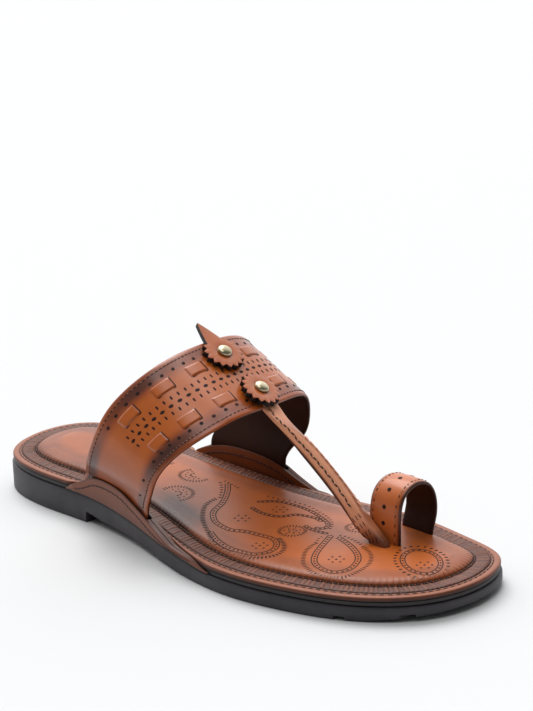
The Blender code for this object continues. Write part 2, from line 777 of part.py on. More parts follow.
def ring_sections(grow=0.0):
    rows = [(RING_X + across * (RING_OUTER - RING_WALL) / 2, footbed_top(RING_MIDDLE) + height * RING_RISE)
            for across, height in RING]
    low = float(midsole_top(RING_MIDDLE)) + GAP
    rows[0] = (rows[0][0], low)
    rows[-1] = (rows[-1][0], low)
    _, path = spline(rows)
    half = RING_WALL / 2 + grow
    rear, front = RING_REAR - grow, RING_REAR + RING_WIDTH + grow
    soft = RING_ROUND
    sections = []
    for share in np.linspace(0, 1, 27):
        x, z = path(share)[0]
        dx, dz = (path(min(share + 0.004, 1)) - path(max(share - 0.004, 0)))[0]
        size = math.hypot(dx, dz)
        nx, nz = dz / size, -dx / size
        section = []
        for y, lift in ((rear, -half + soft), (rear + soft, -half), (front - soft, -half), (front, -half + soft),
                        (front, half - soft), (front - soft, half), (rear + soft, half), (rear, half - soft)):
            section.append((x + nx * lift, y, z + nz * lift))
        sections.append(section)
    return sections


# Rosettes and rivets

def rosette_outline(spiked):
    """Toothed edge, anticlockwise: right is medial along the strap, up is towards its rear edge."""
    outline = []
    for tooth in range(ROSETTE_TEETH * 2):
        angle = math.pi * tooth / ROSETTE_TEETH
        radius = ROSETTE_RADIUS - (ROSETTE_TOOTH if tooth % 2 else 0)
        a, b = radius * math.cos(angle), radius * math.sin(angle)
        if spiked and abs(a) < SPIKE_WIDTH / 2 and b > 0:
            b = SPIKE_LENGTH - (SPIKE_LENGTH - ROSETTE_RADIUS * 0.86) * abs(a) / (SPIKE_WIDTH / 2)
            a = 0.0 if abs(a) < 1e-6 else a
        outline.append((a, b))
    return outline


def rosette_lift(front):
    return STRAP_WALL / 2 + GAP + (TOE_STRAP_END if front else 0.0)


def on_strap(row, a, b, lift):
    """A point of a rosette or rivet: a and b are millimetre-true steps from the rivet."""
    step = 1e-3
    centre = strap_middle(CROWN, row)
    along = np.linalg.norm(strap_middle(CROWN + step, row) - centre) / step
    return strap_point(CROWN + a / along, row - b / STRAP_WIDTH, lift)[0]


def make_rosette(name, row, front):
    outline = rosette_outline(spiked=not front)
    count = len(outline)
    hole = SHANK_RADIUS + GAP
    low = rosette_lift(front)
    vertices = []
    for lift in (low, low + ROSETTE_THICKNESS):
        for share in (0.0, 0.5, 1.0):
            for tooth, (a, b) in enumerate(outline):
                angle = 2 * math.pi * tooth / count
                inner = np.array([hole * math.cos(angle), hole * math.sin(angle)])
                at = inner * (1 - share) + np.array([a, b]) * share
                vertices.append(on_strap(row, at[0], at[1], lift))
    faces = []
    for level in (0, 3 * count):
        for ring in (0, count):
            for i in range(count):
                j = (i + 1) % count
                start = level + ring
                faces.append((start + i, start + j, start + count + j, start + count + i))
    for ring in (0, 2 * count):
        for i in range(count):
            j = (i + 1) % count
            faces.append((ring + i, ring + j, ring + 3 * count + j, ring + 3 * count + i))
    return add(name, vertices, faces, LEATHER)


def rivet_frame(row):
    base = Vector(on_strap(row, 0, 0, 0))
    up = (Vector(on_strap(row, 0, 0, 0.001)) - base).normalized()
    rear = (Vector(on_strap(row, 0, 0.001, 0)) - base).normalized()
    side = rear.cross(up).normalized()
    return base, side, up.cross(side), up


def turned(name, profile, row, look, sides=14):
    """A solid turned about the rivet's axis from (radius, height) pairs, both ends on the axis."""
    base, first, second, up = rivet_frame(row)
    vertices = [base + up * profile[0][1]]
    for radius, height in profile[1:-1]:
        for k in range(sides):
            angle = 2 * math.pi * k / sides
            vertices.append(base + first * radius * math.cos(angle) + second * radius * math.sin(angle) + up * height)
    vertices.append(base + up * profile[-1][1])
    last = len(vertices) - 1
    faces = []
    for k in range(sides):
        m = (k + 1) % sides
        faces.append((0, 1 + k, 1 + m))
        for ring in range(len(profile) - 3):
            a = 1 + ring * sides
            faces.append((a + k, a + sides + k, a + sides + m, a + m))
        faces.append((last - sides + m, last - sides + k, last))
    return add(name, vertices, faces, look)


def make_rivet(name, row, front):
    seat = rosette_lift(front) + ROSETTE_THICKNESS + GAP
    profile = [(0.0, seat + RIVET_DOME)]
    for turn in (30, 60, 90):
        angle = math.radians(turn)
        profile.append((RIVET_RADIUS * math.sin(angle), seat + RIVET_DOME * math.cos(angle) ** 0.8 + RIVET_RIM * 0.75))
    profile[-1] = (RIVET_RADIUS, seat + RIVET_RIM)
    under = -STRAP_WALL / 2 - GAP
    profile += [(RIVET_RADIUS * 0.94, seat), (SHANK_RADIUS, seat), (SHANK_RADIUS, under),
                (TAIL_RADIUS, under), (TAIL_RADIUS, under - TAIL_THICKNESS * 0.6),
                (TAIL_RADIUS * 0.8, under - TAIL_THICKNESS), (0.0, under - TAIL_THICKNESS)]
    return turned(name, profile, row, BRASS)


def make_upper():
    upper = make_instep_strap("upper")
    toe_strap = sweep("toe_strap_guide", toe_strap_sections(), LEATHER)
    cut(upper, toe_strap, "UNION")
    for name, row in (("rear_hole_cutter", REAR_RIVET), ("front_hole_cutter", FRONT_RIVET)):
        hole = SHANK_RADIUS + GAP
        profile = [(0.0, CUTTER_REACH), (hole, CUTTER_REACH), (hole, -CUTTER_REACH), (0.0, -CUTTER_REACH)]
        cut(upper, turned(name, profile, row, LEATHER, 14))
    return upper


for old in list(bpy.data.objects):
    bpy.data.objects.remove(old, do_unlink=True)

SANDAL = bpy.data.objects.new("sandal", None)
bpy.context.scene.collection.objects.link(SANDAL)
SANDAL.matrix_world = Matrix.Translation((-X_MIDDLE, -LENGTH / 2, 0.0))

RUBBER = material("black_rubber", (0.018, 0.018, 0.020), 0.55)
BOARD = material("black_board", (0.030, 0.022, 0.018), 0.6)
LEATHER = material("tan_leather", (0.42, 0.15, 0.045), 0.35)
DARK_LEATHER = material("brown_leather", (0.09, 0.035, 0.022), 0.5)
BRASS = material("antique_brass", (0.45, 0.36, 0.18), 0.3, 1.0)

make_outsole()
make_midsole()
INSOLE = make_insole()
make_band()
make_ear("lateral_ear", LATERAL, LATERAL_EAR_REAR, LATERAL_EAR_LENGTH, LATERAL_EAR_TOP,
         STRAP_ROWS[0][0, 1], STRAP_ROWS[1][STRAP_FOOT_ROWS - 1, 1])
make_ear("medial_ear", MEDIAL, MEDIAL_EAR_REAR, MEDIAL_EAR_LENGTH, MEDIAL_EAR_TOP,
         STRAP_ROWS[0][-1, 1], STRAP_ROWS[1][-STRAP_FOOT_ROWS, 1])
make_upper()
sweep("toe_ring", ring_sections(), LEATHER)
cut(INSOLE, sweep("ring_slot_cutter", ring_sections(GAP), LEATHER))
cut(INSOLE, sweep("strap_slot_cutter", toe_strap_slot(), LEATHER))
make_rosette("rear_rosette", REAR_RIVET, front=False)
make_rosette("front_rosette", FRONT_RIVET, front=True)
make_rivet("rear_rivet", REAR_RIVET, front=False)
make_rivet("front_rivet", FRONT_RIVET, front=True)
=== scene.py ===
"""Looks of the kolhapuri sandal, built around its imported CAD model.

Metres. Shapes are worked out in the last's frame, as in the CAD: x = 0 on the heel's axis, y = 0 at
the back of the heel, z = 0 on the floor. piece() moves them into the row frame.
"""
import math

import bpy
import numpy as np
from mathutils import Matrix, Vector
from mathutils.bvhtree import BVHTree


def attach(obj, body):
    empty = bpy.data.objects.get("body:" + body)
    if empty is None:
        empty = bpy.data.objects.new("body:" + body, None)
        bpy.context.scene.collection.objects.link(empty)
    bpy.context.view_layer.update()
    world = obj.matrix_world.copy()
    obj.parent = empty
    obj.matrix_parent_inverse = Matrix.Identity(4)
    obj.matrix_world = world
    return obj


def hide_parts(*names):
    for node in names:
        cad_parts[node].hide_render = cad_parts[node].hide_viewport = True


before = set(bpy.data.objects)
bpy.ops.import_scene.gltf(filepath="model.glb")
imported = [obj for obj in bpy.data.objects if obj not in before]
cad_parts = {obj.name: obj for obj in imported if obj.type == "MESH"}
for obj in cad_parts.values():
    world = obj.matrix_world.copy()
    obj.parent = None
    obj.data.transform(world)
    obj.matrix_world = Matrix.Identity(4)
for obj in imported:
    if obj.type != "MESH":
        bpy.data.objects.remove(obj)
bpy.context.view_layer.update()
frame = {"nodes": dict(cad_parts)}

# Sizes that repeat those of the CAD
LENGTH = 0.275
HEEL_WIDTH = 0.0705
WAIST_WIDTH = 0.0767
BALL_WIDTH = 0.1010
HEEL_HEIGHT = 0.0172
FOREFOOT_HEIGHT = 0.0108
TOE_SPRING = 0.0005
COVER = 0.0018
MIDSOLE = 0.0020
GAP = 0.0003
OUTSOLE_PROUD = 0.0006
OUTSOLE_BEVEL = 0.0006
TOE_BEVEL = 0.0030
HEEL_LENGTH = 0.0770
BREAST_STEP = 0.0056
GROOVE_WIDTH = 0.0044
GROOVE_DEPTH = 0.0018
GROOVES = (0.870, 0.953)
WAIST_LENGTH = 0.0830
PLAIN_EDGE = 0.0040
BAND_WIDTH = 0.0070
BAND_SEAT = 0.0005
BAND_RISE = 0.0007
CUSHION_RISE = 0.0026
CUSHION_SHOULDER = 0.0075
CUSHION_CROWN = 0.0006
EAR_TUCK = 0.0028
EAR_EASE = 0.0070
EAR_TAIL = 0.0115
EAR_FADE = 0.0220
EAR_OUTER = 0.0011
EAR_INNER = 0.0010
EAR_FLOOR = 0.0016
EAR_HEIGHT = 0.0130
EAR_MARGIN = 0.0008
# Darkening at each corner of an ear's section, away from the strap and beside it: the bottom three corners
# are painted shadow for the gap above the outsole; beside the strap, the pocket's walls and floor are painted
# shade.
EAR_STAIN_AND_SHADE = (1.0, 1.0, 1.0, 0.3, 0.0, 0.0, 0.2, 0.4, 0.5, 1.0, 1.0, 0.5, 0.5, 0.4, 0.4)
POCKET_STAIN_AND_SHADE = (1.0, 1.0, 1.0, 0.3, 0.0, 0.0, 0.15, 0.6, 1.0, 1.0, 1.0, 0.7, 0.6, 0.5, 0.4)
LATERAL_EAR = (0.0640, 0.1020)
MEDIAL_EAR = (0.0740, 0.0840)
STRAP_WALL = 0.0018
STRAP_HEIGHT = 0.0860
STRAP_SPAN = 0.0860
STRAP_REACH = 0.0860
STRAP_START = 0.0735
FOOT_ROOM = 0.0005
TAB_LENGTH = 0.0098
TAB_WIDTH = 0.0064
TAB_RISE = 0.0006
TAB_PITCH = 0.0183
TABS_A_SIDE = 3
SLOT_APART = 0.0036
ROSETTE_RADIUS = 0.0102
ROSETTE_TOOTH = 0.0018
ROSETTE_TEETH = 16
ROSETTE_THICKNESS = 0.0024
SPIKE_LENGTH = 0.0205
SPIKE_WIDTH = 0.0085
RIVET_RADIUS = 0.0034
RIVET_DOME = 0.0019
SHANK_RADIUS = 0.0011
TAIL_RADIUS = 0.0038
TOE_STRAP_WIDTH = 0.0070
TOE_STRAP_THICKNESS = 0.0075
TOE_STRAP_END = 0.0012
TOE_STRAP_APART = 0.0165
LACE_SQUARE = 0.55
LACE_FLAT = 0.94
BRAID_PITCH = 0.0034
RING_WIDTH = 0.0175
RING_WALL = 0.0018
RING_OUTER = 0.0266
RING_RISE = 0.0260
RING_INSET = 0.02395
RING_REAR = 0.2118
RING_BULGE = 0.0005
RING_HOLE_PITCH = 0.0070
RING_STITCH_PITCH = 0.0021
REAR_TABS = 0.267
FRONT_TABS = 0.737
REAR_RIVET = 0.240
FRONT_RIVET = 0.825

# Fineness of the visible meshes
SIDE_POINTS = 400
CAP_COLUMNS = 48
STRAP_STATIONS = 300

# Stitches: length, width and height of one bead
BORDER_STITCH = (0.0022, 0.0008, 0.00035)
RIM_STITCH = (0.0017, 0.0010, 0.00035)
BORDER_DOT = (0.0007, 0.0006, 0.0003)
EAR_STITCH = (0.0021, 0.0009, 0.0004)
STRAP_STITCH = (0.0017, 0.00065, 0.0003)
STRAP_DOT = (0.0006, 0.0006, 0.0004)
SEAM_STITCH = (0.0022, 0.0009, 0.0004)
SEAM_DOT = (0.0008, 0.0006, 0.0004)
SEAM_LINE = (0.0030, 0.0004, 0.0004)
RING_STITCH = (0.0015, 0.0007, 0.00032)
EAR_PITCH = 0.0021
STRAP_PITCH = 0.00215
SEAM_PITCH = 0.0026
STITCH_LEAN = 0.22
STITCH_INSET = 0.0029

# Marks of the instep strap: length along it and width across it
PINHOLE = (0.0018, 0.0018)
MIDDLE_SLOT = (0.0025, 0.0018)
SIDE_SLOT = (0.0009, 0.0021)
PINHOLE_ROWS = (0.144, 0.856)

# Share of a side's points over which the cushion's crown rises from each end
SWELL_START = 6 / 44

# Outline: width that the row follows, across (share of its half), along (share of LENGTH)
OUTLINE = (
    (HEEL_WIDTH, 0.000, 0.000),
    (HEEL_WIDTH, 0.752, 0.046),
    (HEEL_WIDTH, 0.996, 0.130),
    (HEEL_WIDTH, 1.018, 0.273),
    (WAIST_WIDTH, 1.038, 0.415),
    (BALL_WIDTH, 0.964, 0.556),
    (BALL_WIDTH, 1.036, 0.681),
    (BALL_WIDTH, 0.935, 0.794),
    (BALL_WIDTH, 0.701, 0.902),
    (BALL_WIDTH, 0.279, 0.980),
    (BALL_WIDTH, -0.301, 0.998),
    (BALL_WIDTH, -0.725, 0.959),
    (BALL_WIDTH, -0.883, 0.872),
    (BALL_WIDTH, -0.966, 0.741),
    (BALL_WIDTH, -0.855, 0.596),
    (WAIST_WIDTH, -0.960, 0.438),
    (HEEL_WIDTH, -0.970, 0.276),
    (HEEL_WIDTH, -0.976, 0.112),
    (HEEL_WIDTH, -0.647, 0.020),
)

# Waist's arch: along (share of WAIST_LENGTH, from the heel's breast), height (share of BREAST_STEP)
WAIST_ARCH = ((0.010, 1.00), (0.145, 0.70), (0.482, 0.56), (0.771, 0.22), (1.000, 0.00))

# Ear's top edge: along (share of the ear's length), height (share of EAR_HEIGHT)
LATERAL_EAR_TOP = ((0.00, 0.06), (0.08, 0.42), (0.17, 0.72), (0.30, 0.97), (0.38, 0.98), (0.50, 0.84),
                   (0.60, 0.68), (0.70, 0.50), (0.80, 0.33), (0.90, 0.18), (1.00, 0.06))
MEDIAL_EAR_TOP = ((0.00, 0.06), (0.10, 0.48), (0.22, 0.78), (0.36, 0.96), (0.50, 1.00), (0.62, 0.94),
                  (0.74, 0.70), (0.86, 0.38), (1.00, 0.06))

# Instep strap, lateral foot to medial foot: rear edge and front edge, each across (share of
# STRAP_SPAN), along (share of STRAP_REACH, from STRAP_START), height (share of STRAP_HEIGHT)
STRAP = (
    (0.415, 0.035, 0.175, 0.485, 0.632, 0.145),
    (0.415, 0.060, 0.285, 0.490, 0.650, 0.255),
    (0.490, 0.165, 0.400, 0.518, 0.702, 0.345),
    (0.508, 0.240, 0.525, 0.522, 0.745, 0.430),
    (0.460, 0.330, 0.715, 0.480, 0.828, 0.550),
    (0.320, 0.460, 0.890, 0.370, 0.920, 0.650),
    (0.120, 0.500, 0.960, 0.165, 0.985, 0.725),
    (-0.080, 0.500, 0.975, -0.060, 0.960, 0.720),
    (-0.275, 0.475, 0.960, -0.275, 0.915, 0.705),
    (-0.435, 0.425, 0.885, -0.440, 0.870, 0.665),
    (-0.490, 0.350, 0.740, -0.520, 0.815, 0.545),
    (-0.480, 0.265, 0.510, -0.525, 0.755, 0.395),
    (-0.400, 0.175, 0.290, -0.447, 0.700, 0.275),
    (-0.400, 0.165, 0.175, -0.447, 0.695, 0.140),
)
STRAP_FOOT_ROWS = 2

# Toe strap: along (share of the run), height (share of the drop), dip in degrees, width and
# thickness (shares of the named sizes), roll to the medial side in degrees
TOE_STRAP = (
    (0.000, 0.992, 33, 1.30, 0.27, 0),
    (0.090, 0.905, 36, 1.15, 0.42, 8),
    (0.200, 0.815, 37, 0.98, 0.70, 25),
    (0.350, 0.690, 37, 0.88, 0.95, 42),
    (0.520, 0.535, 37, 0.86, 1.00, 45),
    (0.700, 0.350, 40, 0.88, 1.00, 42),
    (0.862, 0.172, 50, 0.84, 1.06, 16),
    (0.958, 0.078, 68, 0.72, 1.26, 0),
    (1.008, 0.030, 87, 0.66, 1.44, 0),
    (1.014, -0.090, 90, 0.66, 1.46, 0),
)

# Toe ring's mid-line: across (share of half RING_OUTER, + lateral), height (share of RING_RISE)
RING = (
    (0.985, -0.14),
    (0.960, 0.14),
    (0.930, 0.48),
    (0.700, 0.83),
    (0.280, 0.955),
    (-0.180, 0.965),
    (-0.620, 0.86),
    (-0.910, 0.56),
    (-0.860, 0.25),
    (-0.700, 0.03),
    (-0.660, -0.14),
)

# Tooled ornament of the footbed: across (share of half BALL_WIDTH), along (share of LENGTH)
LEAF = ((-0.192, 0.452), (-0.083, 0.473), (0.038, 0.491), (0.178, 0.507), (0.309, 0.517), (0.406, 0.534),
        (0.459, 0.552), (0.475, 0.571), (0.469, 0.589), (0.422, 0.603), (0.390, 0.620), (0.370, 0.640),
        (0.358, 0.658), (0.412, 0.680), (0.533, 0.693), (0.612, 0.692), (0.685, 0.683), (0.719, 0.660),
        (0.729, 0.639), (0.713, 0.612), (0.680, 0.592), (0.618, 0.568))
LEAF_FRINGE = ((0.129, 0.485), (0.251, 0.489), (0.382, 0.505), (0.489, 0.525), (0.576, 0.548), (0.650, 0.571),
               (0.740, 0.599), (0.785, 0.639), (0.775, 0.673), (0.690, 0.702), (0.564, 0.711), (0.410, 0.697),
               (0.320, 0.668))
LEAF_HEAD = ((-0.158, 0.441), (-0.105, 0.454), (-0.050, 0.465), (0.008, 0.475), (0.075, 0.485))
LEAF_BACK = ((-0.215, 0.441), (-0.218, 0.452), (-0.212, 0.463), (-0.200, 0.475))
SPRIG = ((-0.115, 0.538), (-0.184, 0.546), (-0.257, 0.558), (-0.303, 0.580), (-0.322, 0.608), (-0.289, 0.644),
         (-0.232, 0.672), (-0.162, 0.689), (-0.091, 0.692), (-0.060, 0.680))
SPRIG_UNDER = ((-0.206, 0.667), (-0.224, 0.650), (-0.204, 0.634), (-0.158, 0.618), (-0.040, 0.607),
               (0.018, 0.589), (0.032, 0.570), (0.014, 0.549))
SPRIG_DOTS = ((-0.277, 0.532), (-0.290, 0.546), (-0.318, 0.557), (-0.350, 0.568), (-0.372, 0.582),
              (-0.382, 0.596), (-0.384, 0.609), (-0.374, 0.622), (-0.358, 0.635), (-0.338, 0.649),
              (-0.312, 0.662), (-0.279, 0.674), (-0.238, 0.685), (-0.185, 0.694), (-0.129, 0.700))
LINK = ((-0.026, 0.712), (-0.012, 0.693), (-0.012, 0.677), (-0.036, 0.662))
DROP = ((-0.018, 0.722), (0.206, 0.741), (0.398, 0.761), (0.509, 0.782), (0.547, 0.807), (0.525, 0.826),
        (0.432, 0.835), (0.309, 0.831), (0.196, 0.818), (0.097, 0.794), (0.016, 0.762), (-0.028, 0.736))
DROP_FRINGE = ((0.194, 0.726), (0.347, 0.734), (0.481, 0.751), (0.575, 0.769), (0.625, 0.790), (0.640, 0.811),
               (0.618, 0.829), (0.568, 0.842), (0.500, 0.851), (0.410, 0.852), (0.275, 0.849), (0.150, 0.837),
               (0.040, 0.815), (-0.010, 0.792))
DROP_DOTS = ((-0.071, 0.733), (-0.081, 0.742), (-0.078, 0.751), (-0.070, 0.761), (-0.058, 0.771),
             (-0.040, 0.782), (0.061, 0.715), (0.100, 0.716), (0.139, 0.720), (0.184, 0.725))
# Toe oval: centre across and along, turn of its long axis, then long and short radius of line and dots
TOE_OVAL = (-0.097, 0.900, 52)
TOE_OVAL_LINE = (0.0129, 0.0078)
TOE_OVAL_DOTS = (0.0174, 0.0110)

# Fringed circles: centre across and along, radius across (share of half BALL_WIDTH), first and last
# angle in degrees, anticlockwise from the lateral side
CIRCLES = (
    (0.300, 0.425, 0.150, 62, 275),
    (-0.100, 0.391, 0.142, -115, 95),
    (0.126, 0.662, 0.115, 0, 345),
    (-0.310, 0.730, 0.105, 0, 345),
    (0.330, 0.330, 0.140, 62, 275),
    (-0.140, 0.300, 0.140, -115, 95),
)
# Flowers of seven dots: centre across and along
FLOWER_RADIUS = 0.0032
FLOWERS = ((0.236, 0.568), (0.533, 0.665), (0.330, 0.795), (-0.050, 0.914), (-0.140, 0.585), (0.050, 0.250))


def smooth(value):
    t = np.clip(value, 0.0, 1.0)
    return t * t * (3.0 - 2.0 * t)


def lengths(points):
    """Length along a polyline up to each of its points."""
    return np.concatenate([[0.0], np.cumsum(np.linalg.norm(np.diff(points, axis=0), axis=1))])


def along_line(places, run, points):
    """Points of a polyline at the given lengths along it."""
    return np.stack([np.interp(places, run, column) for column in np.asarray(points).T], axis=1)


def unit(vector):
    return vector / np.linalg.norm(vector)


def squarish(angle, power=1.0):
    """Cosine and sine of an angle on a rounded square; power 1 gives a circle."""
    c, s = math.cos(angle), math.sin(angle)
    return math.copysign(abs(c) ** power, c), math.copysign(abs(s) ** power, s)


def quads(rows, columns, start=0, flip=False, around=False, along=False):
    """Faces of a grid of points; around closes each row, along joins the last row to the first."""
    found = []
    for i in range(rows - (not along)):
        a, b = start + i * columns, start + (i + 1) % rows * columns
        for k in range(columns - (not around)):
            m = (k + 1) % columns
            found.append((a + k, a + m, b + m, b + k) if flip else (a + k, b + k, b + m, a + m))
    return found


def lids(rows, columns):
    """The two end faces of a closed tube of rows."""
    last = (rows - 1) * columns
    return [tuple(range(columns)), tuple(range(last, last + columns))[::-1]]


def spline_on(knots, points, closed=False):
    """Cubic spline through points at the given knots."""
    points = np.asarray(points, float)
    gaps = np.diff(knots)
    count = len(knots)
    system = np.zeros((count, count))
    slopes = np.diff(points, axis=0) / gaps[:, None]
    target = np.zeros_like(points)
    for row in range(1, count - 1):
        system[row, row - 1] = gaps[row - 1]
        system[row, row] = 2 * (gaps[row - 1] + gaps[row])
        system[row, row + 1] = gaps[row]
        target[row] = 6 * (slopes[row] - slopes[row - 1])
    if closed:
        system[0, 0] = 2 * (gaps[-1] + gaps[0])
        system[0, 1] = gaps[0]
        system[0, -2] = gaps[-1]
        target[0] = 6 * (slopes[0] - slopes[-1])
        system[-1, 0] = 1
        system[-1, -1] = -1
    else:
        system[0, 0] = 1
        system[-1, -1] = 1
    bends = np.linalg.solve(system, target)

    def at(value):
        value = np.atleast_1d(np.asarray(value, float))
        inside = np.clip(value, knots[0], knots[-1])
        part = np.clip(np.searchsorted(knots, inside, side="right") - 1, 0, count - 2)
        gap = gaps[part][:, None]
        right = (inside - knots[part])[:, None]
        left = gap - right
        found = (bends[part] * left ** 3 + bends[part + 1] * right ** 3) / (6 * gap)
        found = found + (points[part] / gap - bends[part] * gap / 6) * left
        found = found + (points[part + 1] / gap - bends[part + 1] * gap / 6) * right
        low, high = knots[0], knots[-1]
        start = slopes[0] - bends[0] * gaps[0] / 3 - bends[1] * gaps[0] / 6
        end = slopes[-1] + bends[-1] * gaps[-1] / 3 + bends[-2] * gaps[-1] / 6
        below, above = np.minimum(value - low, 0)[:, None], np.maximum(value - high, 0)[:, None]
        return found + below * start + above * end

    return at


def spline(points, closed=False):
    points = np.asarray(points, float)
    if closed:
        points = np.vstack([points, points[:1]])
    knots = lengths(points)
    knots /= knots[-1]
    return knots, spline_on(knots, points, closed)


def even(points, step, closed=False):
    """Points every step along a polyline, and the direction at each."""
    points = np.asarray(points, float)
    if closed:
        points = np.vstack([points, points[:1]])
    run = lengths(points)
    count = max(2, int(round(run[-1] / step)))
    places = np.linspace(0, run[-1], count + 1)[:-1 if closed else None]
    near = step / 4
    facing = along_line(places + near, run, points) - along_line(places - near, run, points)
    facing /= np.linalg.norm(facing, axis=1)[:, None] + 1e-12
    return along_line(places, run, points), facing


# Outline

def outline_sides():
    """Points up the lateral side, points up the medial side, and outward normals of each."""
    rows = [(across * width / 2, along * LENGTH) for width, across, along in OUTLINE]
    _, curve = spline(rows, closed=True)
    ring = curve(np.linspace(0, 1, 3201)[:-1])
    ring[:, 1] -= ring[:, 1].min()
    ring[:, 1] *= LENGTH / ring[:, 1].max()
    ring = np.roll(ring, -int(ring[:, 1].argmin()), axis=0)
    toe = int(ring[:, 1].argmax())
    tangent = np.roll(ring, -1, axis=0) - np.roll(ring, 1, axis=0)
    tangent /= np.linalg.norm(tangent, axis=1)[:, None]
    normal = np.stack([tangent[:, 1], -tangent[:, 0]], axis=1)
    sides = []
    for part in (np.arange(0, toe + 1), np.append(np.arange(toe, len(ring)), 0)[::-1]):
        run = lengths(ring[part])
        stops = np.linspace(0, run[-1], SIDE_POINTS + 1)
        sides.append((along_line(stops, run, ring[part]), along_line(stops, run, normal[part]),
                      ring[part], normal[part]))
    return sides


LATERAL, MEDIAL = outline_sides()
X_MIDDLE = (LATERAL[2][:, 0].max() + MEDIAL[2][:, 0].min()) / 2
SHIFT = np.array([-X_MIDDLE, -LENGTH / 2, 0.0])


def side_at(side, y, offset):
    _, _, place, facing = side
    order = slice(None) if place[0, 1] < place[-1, 1] else slice(None, None, -1)
    x = np.interp(y, place[order, 1], place[order, 0])
    nx = np.interp(y, place[order, 1], facing[order, 0])
    ny = np.interp(y, place[order, 1], facing[order, 1])
    return x + nx * offset, y + ny * offset


# The toe ring stands inside the medial edge, and the toe strap beside it
RING_MIDDLE = RING_REAR + RING_WIDTH / 2
RING_X = float(side_at(MEDIAL, RING_MIDDLE, 0.0)[0]) + RING_INSET
TOE_STRAP_X = RING_X + TOE_STRAP_APART


def edge_height(y):
    drop = smooth((y / LENGTH - 0.25) / 0.41)
    spring = np.clip(y / LENGTH - 0.85, 0, None) / 0.15
    return HEEL_HEIGHT + (FOREFOOT_HEIGHT - HEEL_HEIGHT) * drop + TOE_SPRING * spring ** 2


def midsole_top(y):
    return edge_height(y) - COVER - GAP


def outsole_top(y):
    return midsole_top(y) - MIDSOLE - GAP


def raised(height, lift):
    """A height function moved up."""
    return lambda y: height(y) + lift


def outsole_bottom(y):
    rise = np.clip(y / LENGTH - 0.86, 0, None) / 0.14
    return TOE_BEVEL * rise ** 1.6


def tuck_span(y, side):
    """1 beside an ear, easing to 0 where the ear's ends thin out."""
    rear, length = LATERAL_EAR if side is LATERAL else MEDIAL_EAR
    fade = np.clip((y - rear - length + EAR_FADE) / (EAR_TAIL + EAR_FADE), 0, 1)
    return smooth((y - rear) / EAR_EASE) * (1 - fade)


def tucked(y, offset, side):
    """Offset of a footbed ring: the plain edge draws in beside the ears."""
    share = np.clip(1 + offset / (PLAIN_EDGE - 0.0001), 0, 1)
    return offset - EAR_TUCK * share * tuck_span(y, side)


# Materials

def colour(red, green, blue):
    """A linear colour from display values of 0 to 255."""
    found = []
    for value in (red, green, blue):
        share = value / 255
        found.append(share / 12.92 if share <= 0.04045 else ((share + 0.055) / 1.055) ** 2.4)
    return (*found, 1.0)


COAT_ROUGHNESS = 0.22


class Look:
    """A node material whose parts are added one after another."""

    def __init__(self, name, roughness=0.4, metallic=0.0, coat=0.0, specular=0.5):
        self.made = bpy.data.materials.new(name)
        self.made.use_nodes = True
        self.tree = self.made.node_tree
        self.shader = self.tree.nodes["Principled BSDF"]
        for socket, value in (("Roughness", roughness), ("Metallic", metallic), ("Coat Weight", coat),
                              ("Coat Roughness", COAT_ROUGHNESS), ("Specular IOR Level", specular)):
            self.shader.inputs[socket].default_value = value
        self.where = self.tree.nodes.new("ShaderNodeTexCoord").outputs["Object"]

    def node(self, kind, values=(), **settings):
        """A new node with settings, and with values for its inputs by name."""
        made = self.tree.nodes.new(kind)
        for key, value in settings.items():
            setattr(made, key, value)
        for key, value in dict(values).items():
            made.inputs[key].default_value = value
        return made

    def link(self, out, into):
        self.tree.links.new(out, into)

    def noise(self, scale, detail):
        made = self.node("ShaderNodeTexNoise", {"Scale": scale, "Detail": detail})
        self.link(self.where, made.inputs["Vector"])
        return made.outputs["Fac"]

    # Per-vertex darkening: stains and burnish in places, painted shade and painted highlights in others
    def stain(self):
        return self.node("ShaderNodeAttribute", attribute_name="stain").outputs["Fac"]

    def maths(self, kind, first, second):
        made = self.node("ShaderNodeMath", operation=kind)
        for socket, value in zip(made.inputs, (first, second)):
            if isinstance(value, float):
                socket.default_value = value
            else:
                self.link(value, socket)
        return made.outputs[0]

    def ramp(self, factor, stops):
        made = self.node("ShaderNodeValToRGB")
        while len(made.color_ramp.elements) < len(stops):
            made.color_ramp.elements.new(0.5)
        for element, (at, shade) in zip(made.color_ramp.elements, stops):
            element.position = at
            element.color = shade
        self.link(factor, made.inputs["Fac"])
        self.link(made.outputs["Color"], self.shader.inputs["Base Color"])

    def rough(self, factor, low, high):
        made = self.node("ShaderNodeMapRange", {"To Min": low, "To Max": high})
        self.link(factor, made.inputs["Value"])
        self.link(made.outputs["Result"], self.shader.inputs["Roughness"])

    def bump(self, factor, strength, distance):
        made = self.node("ShaderNodeBump", {"Strength": strength, "Distance": distance})
        self.link(factor, made.inputs["Height"])
        self.link(made.outputs["Normal"], self.shader.inputs["Normal"])


def leather(name, stops, low=0.28, high=0.42, mottle=0.35, coat=0.25, grain=0.35, size=1300, shine=0.3):
    """Polished leather: stops run from the clean colour to the darkest one, used for burnish and for painted
    shade alike.
    """
    look = Look(name, coat=coat, specular=shine)
    cloud = look.noise(70.0, 4.0)
    spots = look.maths("MULTIPLY", look.maths("SUBTRACT", cloud, 0.5), mottle)
    factor = look.maths("ADD", look.stain(), spots)
    look.ramp(factor, [(share, colour(*shade)) for share, *shade in stops])
    look.rough(look.noise(240.0, 2.0), low, high)
    look.bump(look.noise(float(size), 4.0), grain, 0.00012)
    return look.made


def thread(name, shade):
    lighter = (*[min(1.0, part * 1.5) for part in shade[:3]], 1.0)
    look = Look(name, roughness=0.65)
    look.ramp(look.noise(900.0, 2.0), ((0.3, shade), (0.7, lighter)))
    look.bump(look.noise(2500.0, 1.0), 0.4, 0.0001)
    return look.made
